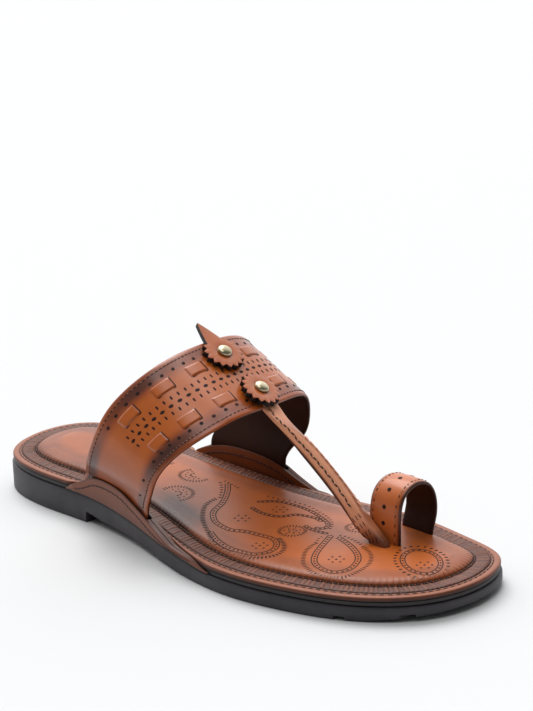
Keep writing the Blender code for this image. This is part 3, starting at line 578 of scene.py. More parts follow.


# Leathers: each stop has its share of stain and painted shade, then red, green and blue
STRAP_LEATHER = leather("strap_leather", (
    (0.00, 180, 90, 26), (0.35, 154, 72, 24), (0.70, 94, 46, 28), (1.00, 50, 28, 24)),
    low=0.26, high=0.36, coat=0.40)
BED_LEATHER = leather("footbed_leather", (
    (0.00, 178, 90, 30), (0.40, 140, 72, 36), (0.75, 82, 46, 32), (1.00, 42, 25, 20)),
    low=0.34, high=0.44, coat=0.08, shine=0.22)
EDGE_LEATHER = leather("border_leather", (
    (0.00, 152, 88, 58), (0.50, 116, 64, 44), (1.00, 52, 30, 24)), low=0.4, high=0.55, coat=0.05)
EAR_LEATHER = leather("ear_leather", (
    (0.00, 126, 72, 50), (0.50, 96, 54, 40), (1.00, 30, 18, 15)), low=0.4, high=0.5, coat=0.05)
BAND_LEATHER = leather("band_leather", (
    (0.00, 146, 88, 62), (0.50, 100, 57, 41), (1.00, 32, 18, 15)), low=0.45, high=0.6, coat=0.0)
RING_LEATHER = leather("ring_leather", (
    (0.00, 200, 106, 46), (0.45, 160, 82, 38), (0.75, 88, 46, 28), (1.00, 42, 24, 18)),
    low=0.3, high=0.42, coat=0.25)
LACE_LEATHER = leather("toe_strap_leather", (
    (0.00, 236, 164, 126), (0.45, 182, 112, 76), (0.80, 88, 48, 30), (1.00, 38, 21, 16)),
    low=0.36, high=0.48, coat=0.1)
LINING = leather("lining", (
    (0.00, 66, 33, 18), (1.00, 32, 16, 10)), low=0.5, high=0.6, coat=0.0, mottle=0.8, shine=0.15)
STRAP_EDGE = leather("strap_edge", (
    (0.00, 112, 61, 42), (1.00, 52, 28, 20)), low=0.4, high=0.5, coat=0.05)
# Near-black: the rosettes' dyed cut edges, and painted shadow and shade under the ears and in their pockets
CUT_EDGE_AND_SHADE = leather("cut_edge_and_painted_shade", (
    (0.00, 32, 18, 15), (1.00, 18, 10, 9)), low=0.45, high=0.6, coat=0.0)
# Dark marks: the footbed's tooled lines, and painted shade in holes and slots and beside the tabs
MARK_AND_SHADE = leather("tooled_mark_and_painted_shade", (
    (0.00, 42, 23, 17), (1.00, 24, 13, 10)), low=0.55, high=0.7, coat=0.0, shine=0.15)
THREAD = thread("brown_thread", colour(44, 25, 20))
LIGHT_THREAD = thread("tan_thread", colour(150, 106, 80))


def rubber(name, shade, lighter):
    look = Look(name, roughness=0.55)
    look.ramp(look.noise(45.0, 4.0), ((0.3, shade), (0.75, lighter)))
    look.rough(look.noise(160.0, 3.0), 0.42, 0.62)
    look.bump(look.noise(900.0, 5.0), 0.35, 0.00015)
    return look.made


RUBBER = rubber("outsole_rubber", colour(38, 36, 40), colour(60, 56, 61))
BOARD = rubber("board_edge", colour(26, 23, 24), colour(44, 38, 38))


def brass(name, shade, lighter):
    look = Look(name, metallic=1.0)
    look.ramp(look.noise(300.0, 3.0), ((0.25, shade), (0.75, lighter)))
    look.rough(look.noise(500.0, 2.0), 0.26, 0.4)
    look.bump(look.noise(700.0, 2.0), 0.08, 0.0001)
    return look.made


BRASS = brass("antique_brass_look", colour(170, 158, 126), colour(214, 205, 174))


# Pieces

def show(name, data):
    made = bpy.data.objects.new(name, data)
    bpy.context.scene.collection.objects.link(made)
    return made


def piece(name, vertices, faces, looks, slot, which=None, stain=None, sharp=40.0, replaces=()):
    """A named object from vertices in the last's frame; which gives each face's look."""
    mesh = bpy.data.meshes.new(name)
    places = np.asarray(vertices, float) + SHIFT
    mesh.from_pydata(places.tolist(), [], [tuple(int(i) for i in face) for face in faces])
    for look in looks:
        mesh.materials.append(look)
    if which is not None:
        mesh.polygons.foreach_set("material_index", np.asarray(which, np.int32))
    values = np.zeros(len(places)) if stain is None else np.asarray(stain, float)
    mesh.attributes.new("stain", "FLOAT", "POINT").data.foreach_set("value", values.astype(np.float32))
    mesh.update()
    mesh.shade_smooth()
    mesh.set_sharp_from_angle(angle=math.radians(sharp))
    made = show(name, mesh)
    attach(made, "root")
    if replaces:
        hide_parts(*replaces)
    return made


class Heap:
    """Small closed solids gathered into one mesh."""

    def __init__(self):
        self.vertices = []
        self.faces = []
        self.which = []
        self.count = 0

    def add(self, vertices, faces, which=0):
        vertices = np.asarray(vertices, float)
        self.vertices.append(vertices)
        self.faces += [tuple(i + self.count for i in face) for face in faces]
        self.which += [which] * len(faces)
        self.count += len(vertices)

    def prism(self, low, high):
        """A closed solid between two rings of equally many points."""
        n = len(low)
        faces = [tuple(range(n))[::-1], tuple(range(n, 2 * n))]
        faces += [(i, (i + 1) % n, n + (i + 1) % n, n + i) for i in range(n)]
        self.add(np.vstack([low, high]), faces)

    def strip(self, left, right, drop):
        """A closed ribbon between two rows of points, drop thick along the given offsets."""
        n = len(left)
        rows = np.vstack([left, right, left + drop, right + drop])
        faces = []
        for i in range(n - 1):
            a, b, c, d = i, n + i, 2 * n + i, 3 * n + i
            faces += [(a, a + 1, b + 1, b), (c, d, d + 1, c + 1), (a, c, c + 1, a + 1), (b, b + 1, d + 1, d)]
        faces += [(0, n, 3 * n, 2 * n), (n - 1, 3 * n - 1, 4 * n - 1, 2 * n - 1)]
        self.add(rows, faces)

    def stitch(self, at, along, across, up, length, width, height, which=0):
        """A thread's stitch: a flattened bead with six sides."""
        sides = 6
        rows = [at - along * length / 2]
        for share, size in ((-0.30, 0.80), (0.30, 0.80)):
            for k in range(sides):
                angle = 2 * math.pi * k / sides
                rows.append(at + along * length * share + across * width / 2 * size * math.cos(angle)
                            + up * height * size * math.sin(angle))
        rows.append(at + along * length / 2)
        last = len(rows) - 1
        faces = []
        for k in range(sides):
            m = (k + 1) % sides
            faces += [(0, 1 + m, 1 + k), (1 + k, 1 + m, 1 + sides + m, 1 + sides + k),
                      (last, 1 + sides + k, 1 + sides + m)]
        self.add(rows, faces, which)

    def make(self, name, looks, slot, **more):
        return piece(name, np.vstack(self.vertices), self.faces, looks, slot, which=self.which, **more)


def loop_points(offset, height, tuck=False):
    sides = []
    for side in (LATERAL, MEDIAL):
        place, facing = side[0], side[1]
        moved = np.full(len(place), float(offset)) if np.isscalar(offset) else offset
        if tuck:
            moved = tucked(place[:, 1], moved, side)
        at = place + facing * moved[:, None]
        sides.append(np.column_stack([at, height(place[:, 1])]))
    return np.vstack([sides[0], sides[1][-2:0:-1]])


def shell(rings, columns_low, columns_high, crown=0.0, tuck=False):
    """Vertices and faces of a sole layer from rings (offset, height function), bottom up."""
    loops = [loop_points(offset, height, tuck) for offset, height in rings]
    around = len(loops[0])
    vertices = [np.vstack(loops)]
    faces = quads(len(loops), around, flip=True, around=True)
    count = len(loops) * around
    for level, columns, swell in ((0, columns_low, 0.0), (len(loops) - 1, columns_high, crown)):
        start = level * around
        ring = loops[level]
        rows = []
        for i in range(1, SIDE_POINTS):
            lateral, medial = i, around - i
            shares = np.arange(1, columns) / columns
            points = ring[lateral] * (1 - shares)[:, None] + ring[medial] * shares[:, None]
            ends = smooth(min(i, SIDE_POINTS - i) / (SIDE_POINTS * SWELL_START))
            points[:, 2] += swell * ends * (1 - (2 * shares - 1) ** 2)
            rows.append([start + lateral, *range(count, count + columns - 1), start + medial])
            vertices.append(points)
            count += columns - 1
        cap = []
        for first, second in zip(rows, rows[1:]):
            for k in range(columns):
                cap.append((first[k], first[k + 1], second[k + 1], second[k]))
        cap.append((start, *rows[0][::-1]))
        cap.append((start + SIDE_POINTS, *rows[-1]))
        faces += [face[::-1] for face in cap] if level else cap
    return np.vstack(vertices), faces, around


# Sole

def prism_along_x(name, outline, reach):
    rows = [(-reach, y, z) for y, z in outline] + [(reach, y, z) for y, z in outline]
    count = len(outline)
    faces = [tuple(range(count)), tuple(range(count, 2 * count))[::-1]]
    faces += [(i, count + i, count + (i + 1) % count, (i + 1) % count) for i in range(count)]
    mesh = bpy.data.meshes.new(name)
    mesh.from_pydata((np.asarray(rows) + SHIFT).tolist(), [], faces)
    return show(name, mesh)


def cut_away(target, cutters):
    """Takes the cutters out of the target for good, then removes them."""
    for cutter in cutters:
        change = target.modifiers.new("cut", "BOOLEAN")
        change.operation = "DIFFERENCE"
        change.solver = "EXACT"
        change.object = cutter
    bpy.context.view_layer.update()
    done = bpy.data.meshes.new_from_object(target.evaluated_get(bpy.context.evaluated_depsgraph_get()))
    target.modifiers.clear()
    target.data = done
    for cutter in cutters:
        bpy.data.objects.remove(cutter, do_unlink=True)


def make_outsole():
    corner = ((0.0, 1.0), (0.3, 0.3), (1.0, 0.0))
    rings = [(OUTSOLE_PROUD - OUTSOLE_BEVEL * inset, raised(outsole_bottom, OUTSOLE_BEVEL * lift))
             for lift, inset in corner]
    rings += [(OUTSOLE_PROUD - OUTSOLE_BEVEL * inset, raised(outsole_top, -OUTSOLE_BEVEL * lift))
              for lift, inset in corner[::-1]]
    vertices, faces, _ = shell(rings, 4, 4)
    made = piece("outsole_rubber", vertices, faces, [RUBBER], "black_rubber", replaces=("outsole",))
    below = -0.005
    arch = [(HEEL_LENGTH + along * WAIST_LENGTH, height * BREAST_STEP) for along, height in WAIST_ARCH]
    arch = [(HEEL_LENGTH, below), *arch, (HEEL_LENGTH + WAIST_LENGTH, below)]
    cutters = [prism_along_x("waist", arch, BALL_WIDTH)]
    for along in GROOVES:
        y = along * LENGTH
        top = outsole_bottom(y) + GROOVE_DEPTH
        cutters.append(prism_along_x("groove", (
            (y, below), (y, top), (y + GROOVE_WIDTH, top), (y + GROOVE_WIDTH, below)), BALL_WIDTH))
    cut_away(made, cutters)
    made.data.shade_smooth()
    made.data.set_sharp_from_angle(angle=math.radians(35))


make_outsole()

BEVEL = 0.0003
VERTICES, FACES, _ = shell((
    (-2 * BEVEL, raised(outsole_top, GAP)), (-BEVEL, raised(outsole_top, GAP + BEVEL)),
    (-BEVEL, raised(midsole_top, -BEVEL)), (-2 * BEVEL, midsole_top)), 4, 4, tuck=True)
piece("midsole_board", VERTICES, FACES, [BOARD], "black_board", replaces=("midsole",))

# Footbed: plain border, seat of the band, puckered shoulder and crowned cushion
BAND_OUT = -PLAIN_EDGE
BAND_IN = BAND_OUT - BAND_WIDTH
CUSHION_START = 0.0006
CUSHION_FOOT = BAND_IN - CUSHION_START
INNER_PITCH = 0.0027
OUTER_PITCH = 0.0034


def pucker(depth):
    """Height change round the cushion's foot, deepest at each stitch of the inner row."""
    loop = loop_points(CUSHION_FOOT, edge_height)
    run = lengths(np.vstack([loop, loop[:1]])[:, :2])
    count = round(run[-1] / INNER_PITCH)
    return -depth * np.abs(np.cos(math.pi * run[:-1] / run[-1] * count)) ** 3


# Border and seat of the band, from the edge inwards: offset, height above the edge, darkening (in the seat's
# creases beside the band this is painted shade)
BORDER = (
    (0.0, -COVER, 1.0),
    (0.0, -0.0006, 0.7),
    (-0.0002, -0.0002, 0.3),
    (-0.0006, 0.0, 0.1),
    (-0.0016, 0.0001, 0.0),
    (-0.0026, 0.0, 0.1),
    (-0.0031, -0.0002, 0.5),
    (-0.0036, 0.0, 0.15),
    (BAND_OUT, 0.0, 0.5),
    (BAND_OUT - 0.0001, -BAND_SEAT, 1.0),
    (BAND_IN, -BAND_SEAT, 1.0),
    (BAND_IN - 0.0001, 0.0, 0.9),
)
# Darker patches of the footbed: strength, centre across and along, spread across and along
BED_PATCHES = (
    (0.36, 0.008, 0.120, 0.024, 0.020),
    (0.42, 0.026, 0.134, 0.013, 0.018),
    (0.30, -0.004, 0.196, 0.012, 0.012),
)


def make_footbed():
    rings = [(offset, raised(edge_height, lift)) for offset, lift, _ in BORDER]
    stains = [stain for _, _, stain in BORDER]
    plain = len(rings)
    depths = [0.0] * plain
    for turn in (0, 12, 24, 36, 48, 60, 72, 82, 90):
        angle = math.radians(turn)
        offset = CUSHION_FOOT - CUSHION_SHOULDER * (1 - math.cos(angle)) ** 1.5
        rise = CUSHION_RISE * math.sin(angle)
        rings.append((offset, raised(edge_height, rise)))
        stains.append(0.85 - 0.6 * math.sin(angle) ** 0.5)
        depths.append(0.0005 * math.cos(angle) ** 2 * min(1.0, 0.4 + turn / 20))
    vertices, faces, around = shell(rings, 4, CAP_COLUMNS, crown=CUSHION_CROWN, tuck=True)
    for level, depth in enumerate(depths):
        if depth:
            vertices[level * around:(level + 1) * around, 2] += pucker(depth)
    stain = np.zeros(len(vertices))
    for level, value in enumerate(stains):
        stain[level * around:(level + 1) * around] = value
    body = len(rings) * around
    lower = (SIDE_POINTS - 1) * 3
    stain[body:body + lower] = 1.0
    loop = loop_points(rings[-1][0], edge_height)
    shares = np.arange(1, CAP_COLUMNS) / CAP_COLUMNS
    width = np.linalg.norm(loop[1:SIDE_POINTS] - loop[-1:-SIDE_POINTS:-1], axis=1)
    inward = np.minimum(shares[None, :], 1 - shares[None, :]) * width[:, None]
    stain[body + lower:] = 0.30 * (1 - smooth(inward.ravel() / 0.009))
    across, along = vertices[:, 0], vertices[:, 1]
    dark = 0.16 * (1 - smooth((along - 0.060) / 0.040))
    for strength, x, y, wide, long in BED_PATCHES:
        dark += strength * np.exp(-((across - x) / wide) ** 2 - ((along - y) / long) ** 2)
    stain[plain * around:] += dark[plain * around:]
    which = [int(min(face) < plain * around) for face in faces]
    piece("footbed", vertices, faces, [BED_LEATHER, EDGE_LEATHER], "tan_leather", which=which, stain=stain,
          sharp=60.0, replaces=("insole",))
    return BVHTree.FromPolygons(vertices.tolist(), faces)


BED_TREE = make_footbed()


def bed_z(points):
    """Heights of the footbed's top under x, y points."""
    found = []
    for x, y in points:
        hit = BED_TREE.ray_cast(Vector((x, y, 0.06)), Vector((0, 0, -1)))
        found.append(hit[0].z if hit[0] is not None else float(edge_height(y)))
    return np.array(found)


def make_band():
    """The pleated band, with slanting pleats about 2 mm apart; painted highlights on the pleats' crests,
    painted shade in their folds and where its edges sink into the seat.
    """
    columns = 9
    pitch = 0.0021
    slant = 0.7
    crest = 0.72
    side = 0.0003
    steps_a_pleat = 6
    loop = loop_points(-PLAIN_EDGE - BAND_WIDTH / 2, edge_height)
    centre, _ = even(loop[:, :2], pitch / steps_a_pleat, closed=True)
    count = len(centre) // steps_a_pleat * steps_a_pleat
    run = np.arange(count) / count
    outer = loop_points(-PLAIN_EDGE - side, edge_height)
    inner = loop_points(-PLAIN_EDGE - BAND_WIDTH + side, edge_height)
    share_of = np.arange(len(outer) + 1) / len(outer)
    rows = []
    stains = []
    for k in range(columns + 2):
        t = np.clip((k - 1) / (columns - 1), 0, 1)
        ring = outer * (1 - t) + inner * t
        ring = np.vstack([ring, ring[:1]])
        at = along_line(run, share_of, ring)
        # The edge rows sink into the seat and are darkest: painted shade in the crease
        if k in (0, columns + 1):
            at[:, 2] += -BAND_SEAT + 0.0001
            stain = np.ones(count)
        else:
            phase = run * count / steps_a_pleat + slant * t + 0.06 * np.sin(2 * math.pi * t)
            fold = phase % 1.0
            rising = np.sin(math.pi / 2 * np.minimum(fold, crest) / crest) ** 0.8
            falling = 1 - (np.maximum(fold - crest, 0) / (1 - crest)) ** 0.7
            lift = np.where(fold < crest, rising, falling)
            pleat = np.floor(phase)
            lift = lift * (0.72 + 0.28 * np.sin(pleat * 2.4 + 1.7 * np.sin(pleat * 0.9)))
            body = 0.50 + 0.50 * math.sin(math.pi * t) ** 0.6
            edge = 1.0 if 0.02 < t < 0.98 else 0.55
            at[:, 2] += (BAND_RISE * 0.75 * body + 0.00045 * (lift - 0.45)) * edge
            # Painted highlight on each pleat's crest and painted shade in its fold; darker near both edges
            stain = 0.70 - 0.50 * lift + 0.25 * (abs(t - 0.5) > 0.4)
        rows.append(at)
        stains.append(stain)
    vertices = np.stack(rows, axis=1).reshape(-1, 3)
    stain = np.stack(stains, axis=1).ravel()
    faces = quads(count, columns + 2, around=True, along=True)
    piece("pleated_band", vertices, faces, [BAND_LEATHER], "brown_leather", stain=stain, sharp=75.0,
          replaces=("braid_band",))


make_band()


def make_border_stitches():
    heap = Heap()
    up = np.array([0.0, 0.0, 1.0])
    for offset, pitch, stitch, lift in (
            (-0.0032, OUTER_PITCH, BORDER_STITCH, -0.0001),
            (CUSHION_FOOT + 0.0004, INNER_PITCH, RIM_STITCH, 0.0003)):
        loop = loop_points(offset, raised(edge_height, lift), tuck=True)
        places, facing = even(loop, pitch, closed=True)
        for at, along in zip(places, facing):
            across = np.cross(up, along)
            heap.stitch(at, along, across, up, *stitch)
            heap.stitch(at + along * pitch / 2, along, across, up, *BORDER_DOT, 1)
    heap.make("border_stitches", [THREAD, LIGHT_THREAD], "brown_leather")


make_border_stitches()


# Tooled ornament

def bed_points(rows):
    rows = np.asarray(rows, float)
    return np.column_stack([rows[:, 0] * BALL_WIDTH / 2, rows[:, 1] * LENGTH])


def bed_path(rows):
    return spline(bed_points(rows))[1](np.linspace(0, 1, 400))


def oval(across, along, turn, long, short):
    """A closed path on the footbed, its long axis turned from the lateral side."""
    angles = np.radians(np.linspace(0, 360, 181))
    c, s = math.cos(math.radians(turn)), math.sin(math.radians(turn))
    first, second = long * np.cos(angles), short * np.sin(angles)
    return bed_points([(across, along)]) + np.column_stack([first * c - second * s, first * s + second * c])


class Tooling:
    """Marks pressed into the footbed, each a thin dark solid let into its surface."""
    LIFT = 0.00005
    DEPTH = 0.0004
    STEP = 0.0008
    LINE = 0.00048
    DOT = 0.0011

    def __init__(self):
        self.heap = Heap()

    def blot(self, centre, direction, length, width, corners=8):
        turn = np.array([[direction[0], -direction[1]], [direction[1], direction[0]]])
        angles = 2 * math.pi * (np.arange(corners) + 0.5) / corners
        ring = centre + np.column_stack([np.cos(angles) * length / 2, np.sin(angles) * width / 2]) @ turn.T
        z = bed_z(ring)
        self.heap.prism(np.column_stack([ring, z - self.DEPTH]), np.column_stack([ring, z + self.LIFT]))

    def dots(self, places, size=DOT):
        for at in places:
            self.blot(np.asarray(at), (1.0, 0.0), size, size)

    def line(self, path):
        places, facing = even(path, self.STEP)
        side = np.column_stack([-facing[:, 1], facing[:, 0]]) * self.LINE / 2
        left, right = places + side, places - side
        drop = np.array([0.0, 0.0, -self.DEPTH])
        self.heap.strip(np.column_stack([left, bed_z(left) + self.LIFT]),
                        np.column_stack([right, bed_z(right) + self.LIFT]), drop)

    def double(self, path, gap=0.0024, pitch=0.0024):
        places, facing = even(path, self.STEP)
        side = np.column_stack([-facing[:, 1], facing[:, 0]]) * gap / 2
        self.line(places + side)
        self.line(places - side)
        self.dots(even(path, pitch)[0])

    def ticks(self, path, pitch, length, width, tilt=0.0):
        places, facing = even(path, pitch)
        lean = math.radians(90 + tilt)
        for at, along in zip(places, facing):
            direction = (along[0] * math.cos(lean) - along[1] * math.sin(lean),
                         along[0] * math.sin(lean) + along[1] * math.cos(lean))
            self.blot(at, direction, length, width, 6)

    def circle(self, across, along, radius, first, last):
        """A fringed arc with two arcs of dots inside it."""
        centre = bed_points([(across, along)])
        angles = np.radians(np.linspace(first, last, 90))
        arc = radius * BALL_WIDTH / 2 * np.column_stack([np.cos(angles), np.sin(angles)])
        self.ticks(centre + arc, 0.0014, 0.0022, 0.0007)
        self.dots(centre + arc[::18] * 0.30)
        self.dots(centre + arc[::13] * 0.62, 0.0009)

    def flower(self, across, along):
        centre = bed_points([(across, along)])
        self.dots(centre, 0.0012)
        angles = np.radians(np.arange(6) * 60 + 15)
        self.dots(centre + FLOWER_RADIUS * np.column_stack([np.cos(angles), np.sin(angles)]))


def make_ornament():
    tool = Tooling()
    for rows, *sizes in ((LEAF,), (SPRIG, 0.0018, 0.0022), (SPRIG_UNDER, 0.0018, 0.0022),
                         (LINK, 0.0018, 0.0022), (DROP,)):
        tool.double(bed_path(rows), *sizes)
    for rows, *sizes in ((LEAF_FRINGE, 0.0017, 0.0027, 0.0010, -8), (LEAF_HEAD, 0.0027, 0.0018, 0.0011),
                         (LEAF_BACK, 0.0025, 0.0017, 0.0009), (SPRIG_DOTS, 0.0027, 0.0016, 0.0009),
                         (DROP_FRINGE, 0.0016, 0.0024, 0.0007), (DROP_DOTS[:6], 0.0024, 0.0019, 0.0008),
                         (DROP_DOTS[6:], 0.0020, 0.0017, 0.0006)):
        tool.ticks(bed_path(rows), *sizes)
    tool.double(oval(*TOE_OVAL, *TOE_OVAL_LINE), 0.0020, 0.0026)
    tool.ticks(oval(*TOE_OVAL, *TOE_OVAL_DOTS), 0.0031, 0.0018, 0.0013)
    for row in CIRCLES:
        tool.circle(*row)
    for row in FLOWERS:
        tool.flower(*row)
    tool.heap.make("tooled_ornament", [MARK_AND_SHADE], "brown_leather")


make_ornament()


# Ears

POCKET = STRAP_WALL + 2 * GAP
EAR_INSIDE = -EAR_TUCK + GAP
STRAP_OFFSET = EAR_INSIDE + EAR_INNER + POCKET / 2


def ear_height(y, rear, length, top_rows):
    _, curve = spline(top_rows)
    rows = curve(np.linspace(0, 1, 300))
    share = np.interp((y - rear) / length, rows[:, 0], rows[:, 1])
    return outsole_top(y) + GAP + EAR_HEIGHT * share


def make_ear(name, node, side, rear, length, top_rows, strap_rear, strap_front):
    """Two layers of leather with the strap's foot between them, and a tail that thins out forwards."""
    lip = edge = 0.0004
    pocket_rear, pocket_front = strap_rear - EAR_MARGIN, strap_front + EAR_MARGIN
    stops = set(np.linspace(rear, rear + length + 0.96 * EAR_TAIL, 190))
    stops.update((pocket_rear - lip, pocket_rear, pocket_front, pocket_front + lip))
    inner = EAR_INSIDE
    pocket_in = inner + EAR_INNER
    pocket_out = pocket_in + POCKET
    outer = pocket_out + EAR_OUTER
    seam = (pocket_in + pocket_out) / 2
    rows = []
    stains = []
    dark = []
    for y in sorted(stops):
        base = float(outsole_top(y)) + GAP
        span = float(tuck_span(y, side))
        fall = float(smooth((y - rear - length + 0.004) / (EAR_TAIL + 0.004)))
        least = (0.0034 - 0.0026 * fall) * (y > rear + length * 0.6)
        top = max(float(ear_height(y, rear, length, top_rows)), base + least)
        open_here = pocket_rear - 1e-9 <= y <= pocket_front + 1e-9
        floor = min(base + EAR_FLOOR, top - lip) if open_here else top - lip * 0.8
        slot_in, slot_out = (pocket_in, pocket_out) if open_here else (seam - 0.0002, seam + 0.0002)
        tall = max(top - base, 0.0004)
        step = min(0.0011, tall * 0.3)
        section = [(inner, base), (outer - 0.0005, base), (outer - 0.0004, base + step),
                   (outer, base + step * 1.25), (outer, base + tall * 0.65),
                   (outer, max(top - 0.0014, base + tall * 0.7)), (outer, top - edge * 0.9),
                   (outer - edge * 0.45, top), (slot_out, top), (slot_out, floor), (slot_in, floor),
                   (slot_in, top), (inner + edge * 0.4, top), (inner, top - edge), (inner, base + tall * 0.5)]
        stains.append(POCKET_STAIN_AND_SHADE if open_here else EAR_STAIN_AND_SHADE)
        dark.append(open_here)
        edge_offset = -EAR_TUCK * span + GAP
        for offset, z in section:
            share = (offset - inner) / (outer - inner)
            moved = edge_offset + share * ((outer - inner) * span + 0.0004 * (1 - span))
            x, at = side_at(side, y, moved)
            rows.append((x, at, z))
    count = len(EAR_STAIN_AND_SHADE)
    faces = quads(len(stains), count, around=True) + lids(len(stains), count)
    # Near-black faces: each ear's bottom step (painted shadow in the gap above the outsole) and, beside the
    # strap's foot, the pocket's walls and floor (painted shade); the inner face takes the footbed's leather.
    which = [2 if k >= 12 else 1 if slotted and k in (8, 9, 10) or k < 3 else 0
             for slotted in dark[:-1] for k in range(count)] + [0, 0]
    piece(name, rows, faces, [EAR_LEATHER, CUT_EDGE_AND_SHADE, BED_LEATHER], "tan_leather", which=which,
          stain=np.ravel(stains), sharp=50.0, replaces=(node,))


def ear_stitches():
    """A scalloped row of stitches below each ear's edge, on both faces."""
    heap = Heap()
    up = np.array([0.0, 0.0, 1.0])
    outer = EAR_INSIDE + EAR_INNER + POCKET + EAR_OUTER
    for side, (rear, length), top_rows in ((LATERAL, LATERAL_EAR, LATERAL_EAR_TOP),
                                           (MEDIAL, MEDIAL_EAR, MEDIAL_EAR_TOP)):
        y = np.linspace(rear + length * 0.09, rear + length * 0.98, 200)
        base = outsole_top(y) + GAP
        top = np.maximum(ear_height(y, rear, length, top_rows), base + 0.0034 * (y > rear + length * 0.6))
        z = np.maximum(top - 0.0034, base + (top - base) * 0.5)
        for offset, face in ((outer - 0.00005, 1), (EAR_INSIDE + 0.00005, -1)):
            x, at = side_at(side, y, offset)
            places, facing = even(np.column_stack([x, at, z]), EAR_PITCH)
            for number, (place, along) in enumerate(zip(places, facing)):
                out = np.cross(along, up)
                out *= face * math.copysign(1.0, out[0] * place[0]) / np.linalg.norm(out)
                tilt = unit(along + up * (STITCH_LEAN if number % 2 else -STITCH_LEAN))
                heap.stitch(place, tilt, np.cross(out, tilt), out, *EAR_STITCH)
    heap.make("ear_stitches", [THREAD], "brown_leather")


# Instep strap

def strap_edges():
    rows = np.asarray(STRAP, float)
    edges = []
    for first in (0, 3):
        across = rows[:, first] * STRAP_SPAN
        along = STRAP_START + rows[:, first + 1] * STRAP_REACH
        height = rows[:, first + 2] * STRAP_HEIGHT
        for end, side in ((range(STRAP_FOOT_ROWS), LATERAL),
                          (range(len(rows) - STRAP_FOOT_ROWS, len(rows)), MEDIAL)):
            for row in end:
                across[row] = side_at(side, along[row], STRAP_OFFSET)[0]
        for row in (0, len(rows) - 1):
            height[row] = outsole_top(along[row]) + EAR_FLOOR + 2 * GAP + FOOT_ROOM
        edges.append(np.column_stack([across, along, height]))
    knots, _ = spline((edges[0] + edges[1]) / 2)
    return knots, edges, spline_on(knots, edges[0]), spline_on(knots, edges[1])


STRAP_KNOTS, STRAP_ROWS, STRAP_REAR_EDGE, STRAP_FRONT_EDGE = strap_edges()
SHARES = np.linspace(0, 1, 801)
STRAP_RUN = lengths(STRAP_REAR_EDGE(SHARES) / 2 + STRAP_FRONT_EDGE(SHARES) / 2)


def strap_share(distance):
    return np.interp(distance, STRAP_RUN, SHARES)


def strap_middle(u, v):
    """Mid-surface of the strap: straight from the rear edge (v = 0) to the front edge (v = 1)."""
    u = np.atleast_1d(np.asarray(u, float))
    v = np.broadcast_to(np.asarray(v, float), u.shape)
    rear, front = STRAP_REAR_EDGE(u), STRAP_FRONT_EDGE(u)
    place = rear * (1 - v)[:, None] + front * v[:, None]
    for side, foot, low, high in ((LATERAL, 0.0, STRAP_KNOTS[1], STRAP_KNOTS[3]),
                                  (MEDIAL, 1.0, STRAP_KNOTS[-2], STRAP_KNOTS[-4])):
        wall, at_rear, at_front = (side_at(side, row[:, 1], STRAP_OFFSET)[0] for row in (place, rear, front))
        bulge = wall - (at_rear * (1 - v) + at_front * v)
        bend = 1 - smooth((u - low) / (high - low))
        hold = 1 - smooth((u - foot) / (1.25 * (low - foot)) * 2 - 1)
        inside = np.abs(v - 0.5) <= 0.5
        place[:, 0] += ((wall - place[:, 0]) * hold + bulge * bend * (1 - hold)) * inside
    return place


def strap_normal(u, v):
    step = 1e-3
    along = strap_middle(u + step, v) - strap_middle(u - step, v)
    across = strap_middle(u, v + step) - strap_middle(u, v - step)
    normal = np.cross(across, along)
    return normal / np.linalg.norm(normal, axis=1)[:, None]


def strap_point(u, v, lift):
    u = np.atleast_1d(np.asarray(u, float))
    v = np.broadcast_to(np.asarray(v, float), u.shape)
    lift = np.broadcast_to(np.asarray(lift, float), u.shape)
    return strap_middle(u, v) + strap_normal(u, v) * lift[:, None]


VALUES = np.linspace(0.3, 0.7, 401)
CROWN = float(VALUES[np.abs(strap_middle(VALUES, 0.5)[:, 0] - TOE_STRAP_X).argmin()])
CROWN_RUN = float(np.interp(CROWN, SHARES, STRAP_RUN))
STRAP_WIDTH = float(np.linalg.norm(STRAP_FRONT_EDGE(CROWN) - STRAP_REAR_EDGE(CROWN)))
TAB_CENTRES = [CROWN_RUN + sign * TAB_PITCH * number
               for sign in (-1, 1) for number in range(1, TABS_A_SIDE + 1)]


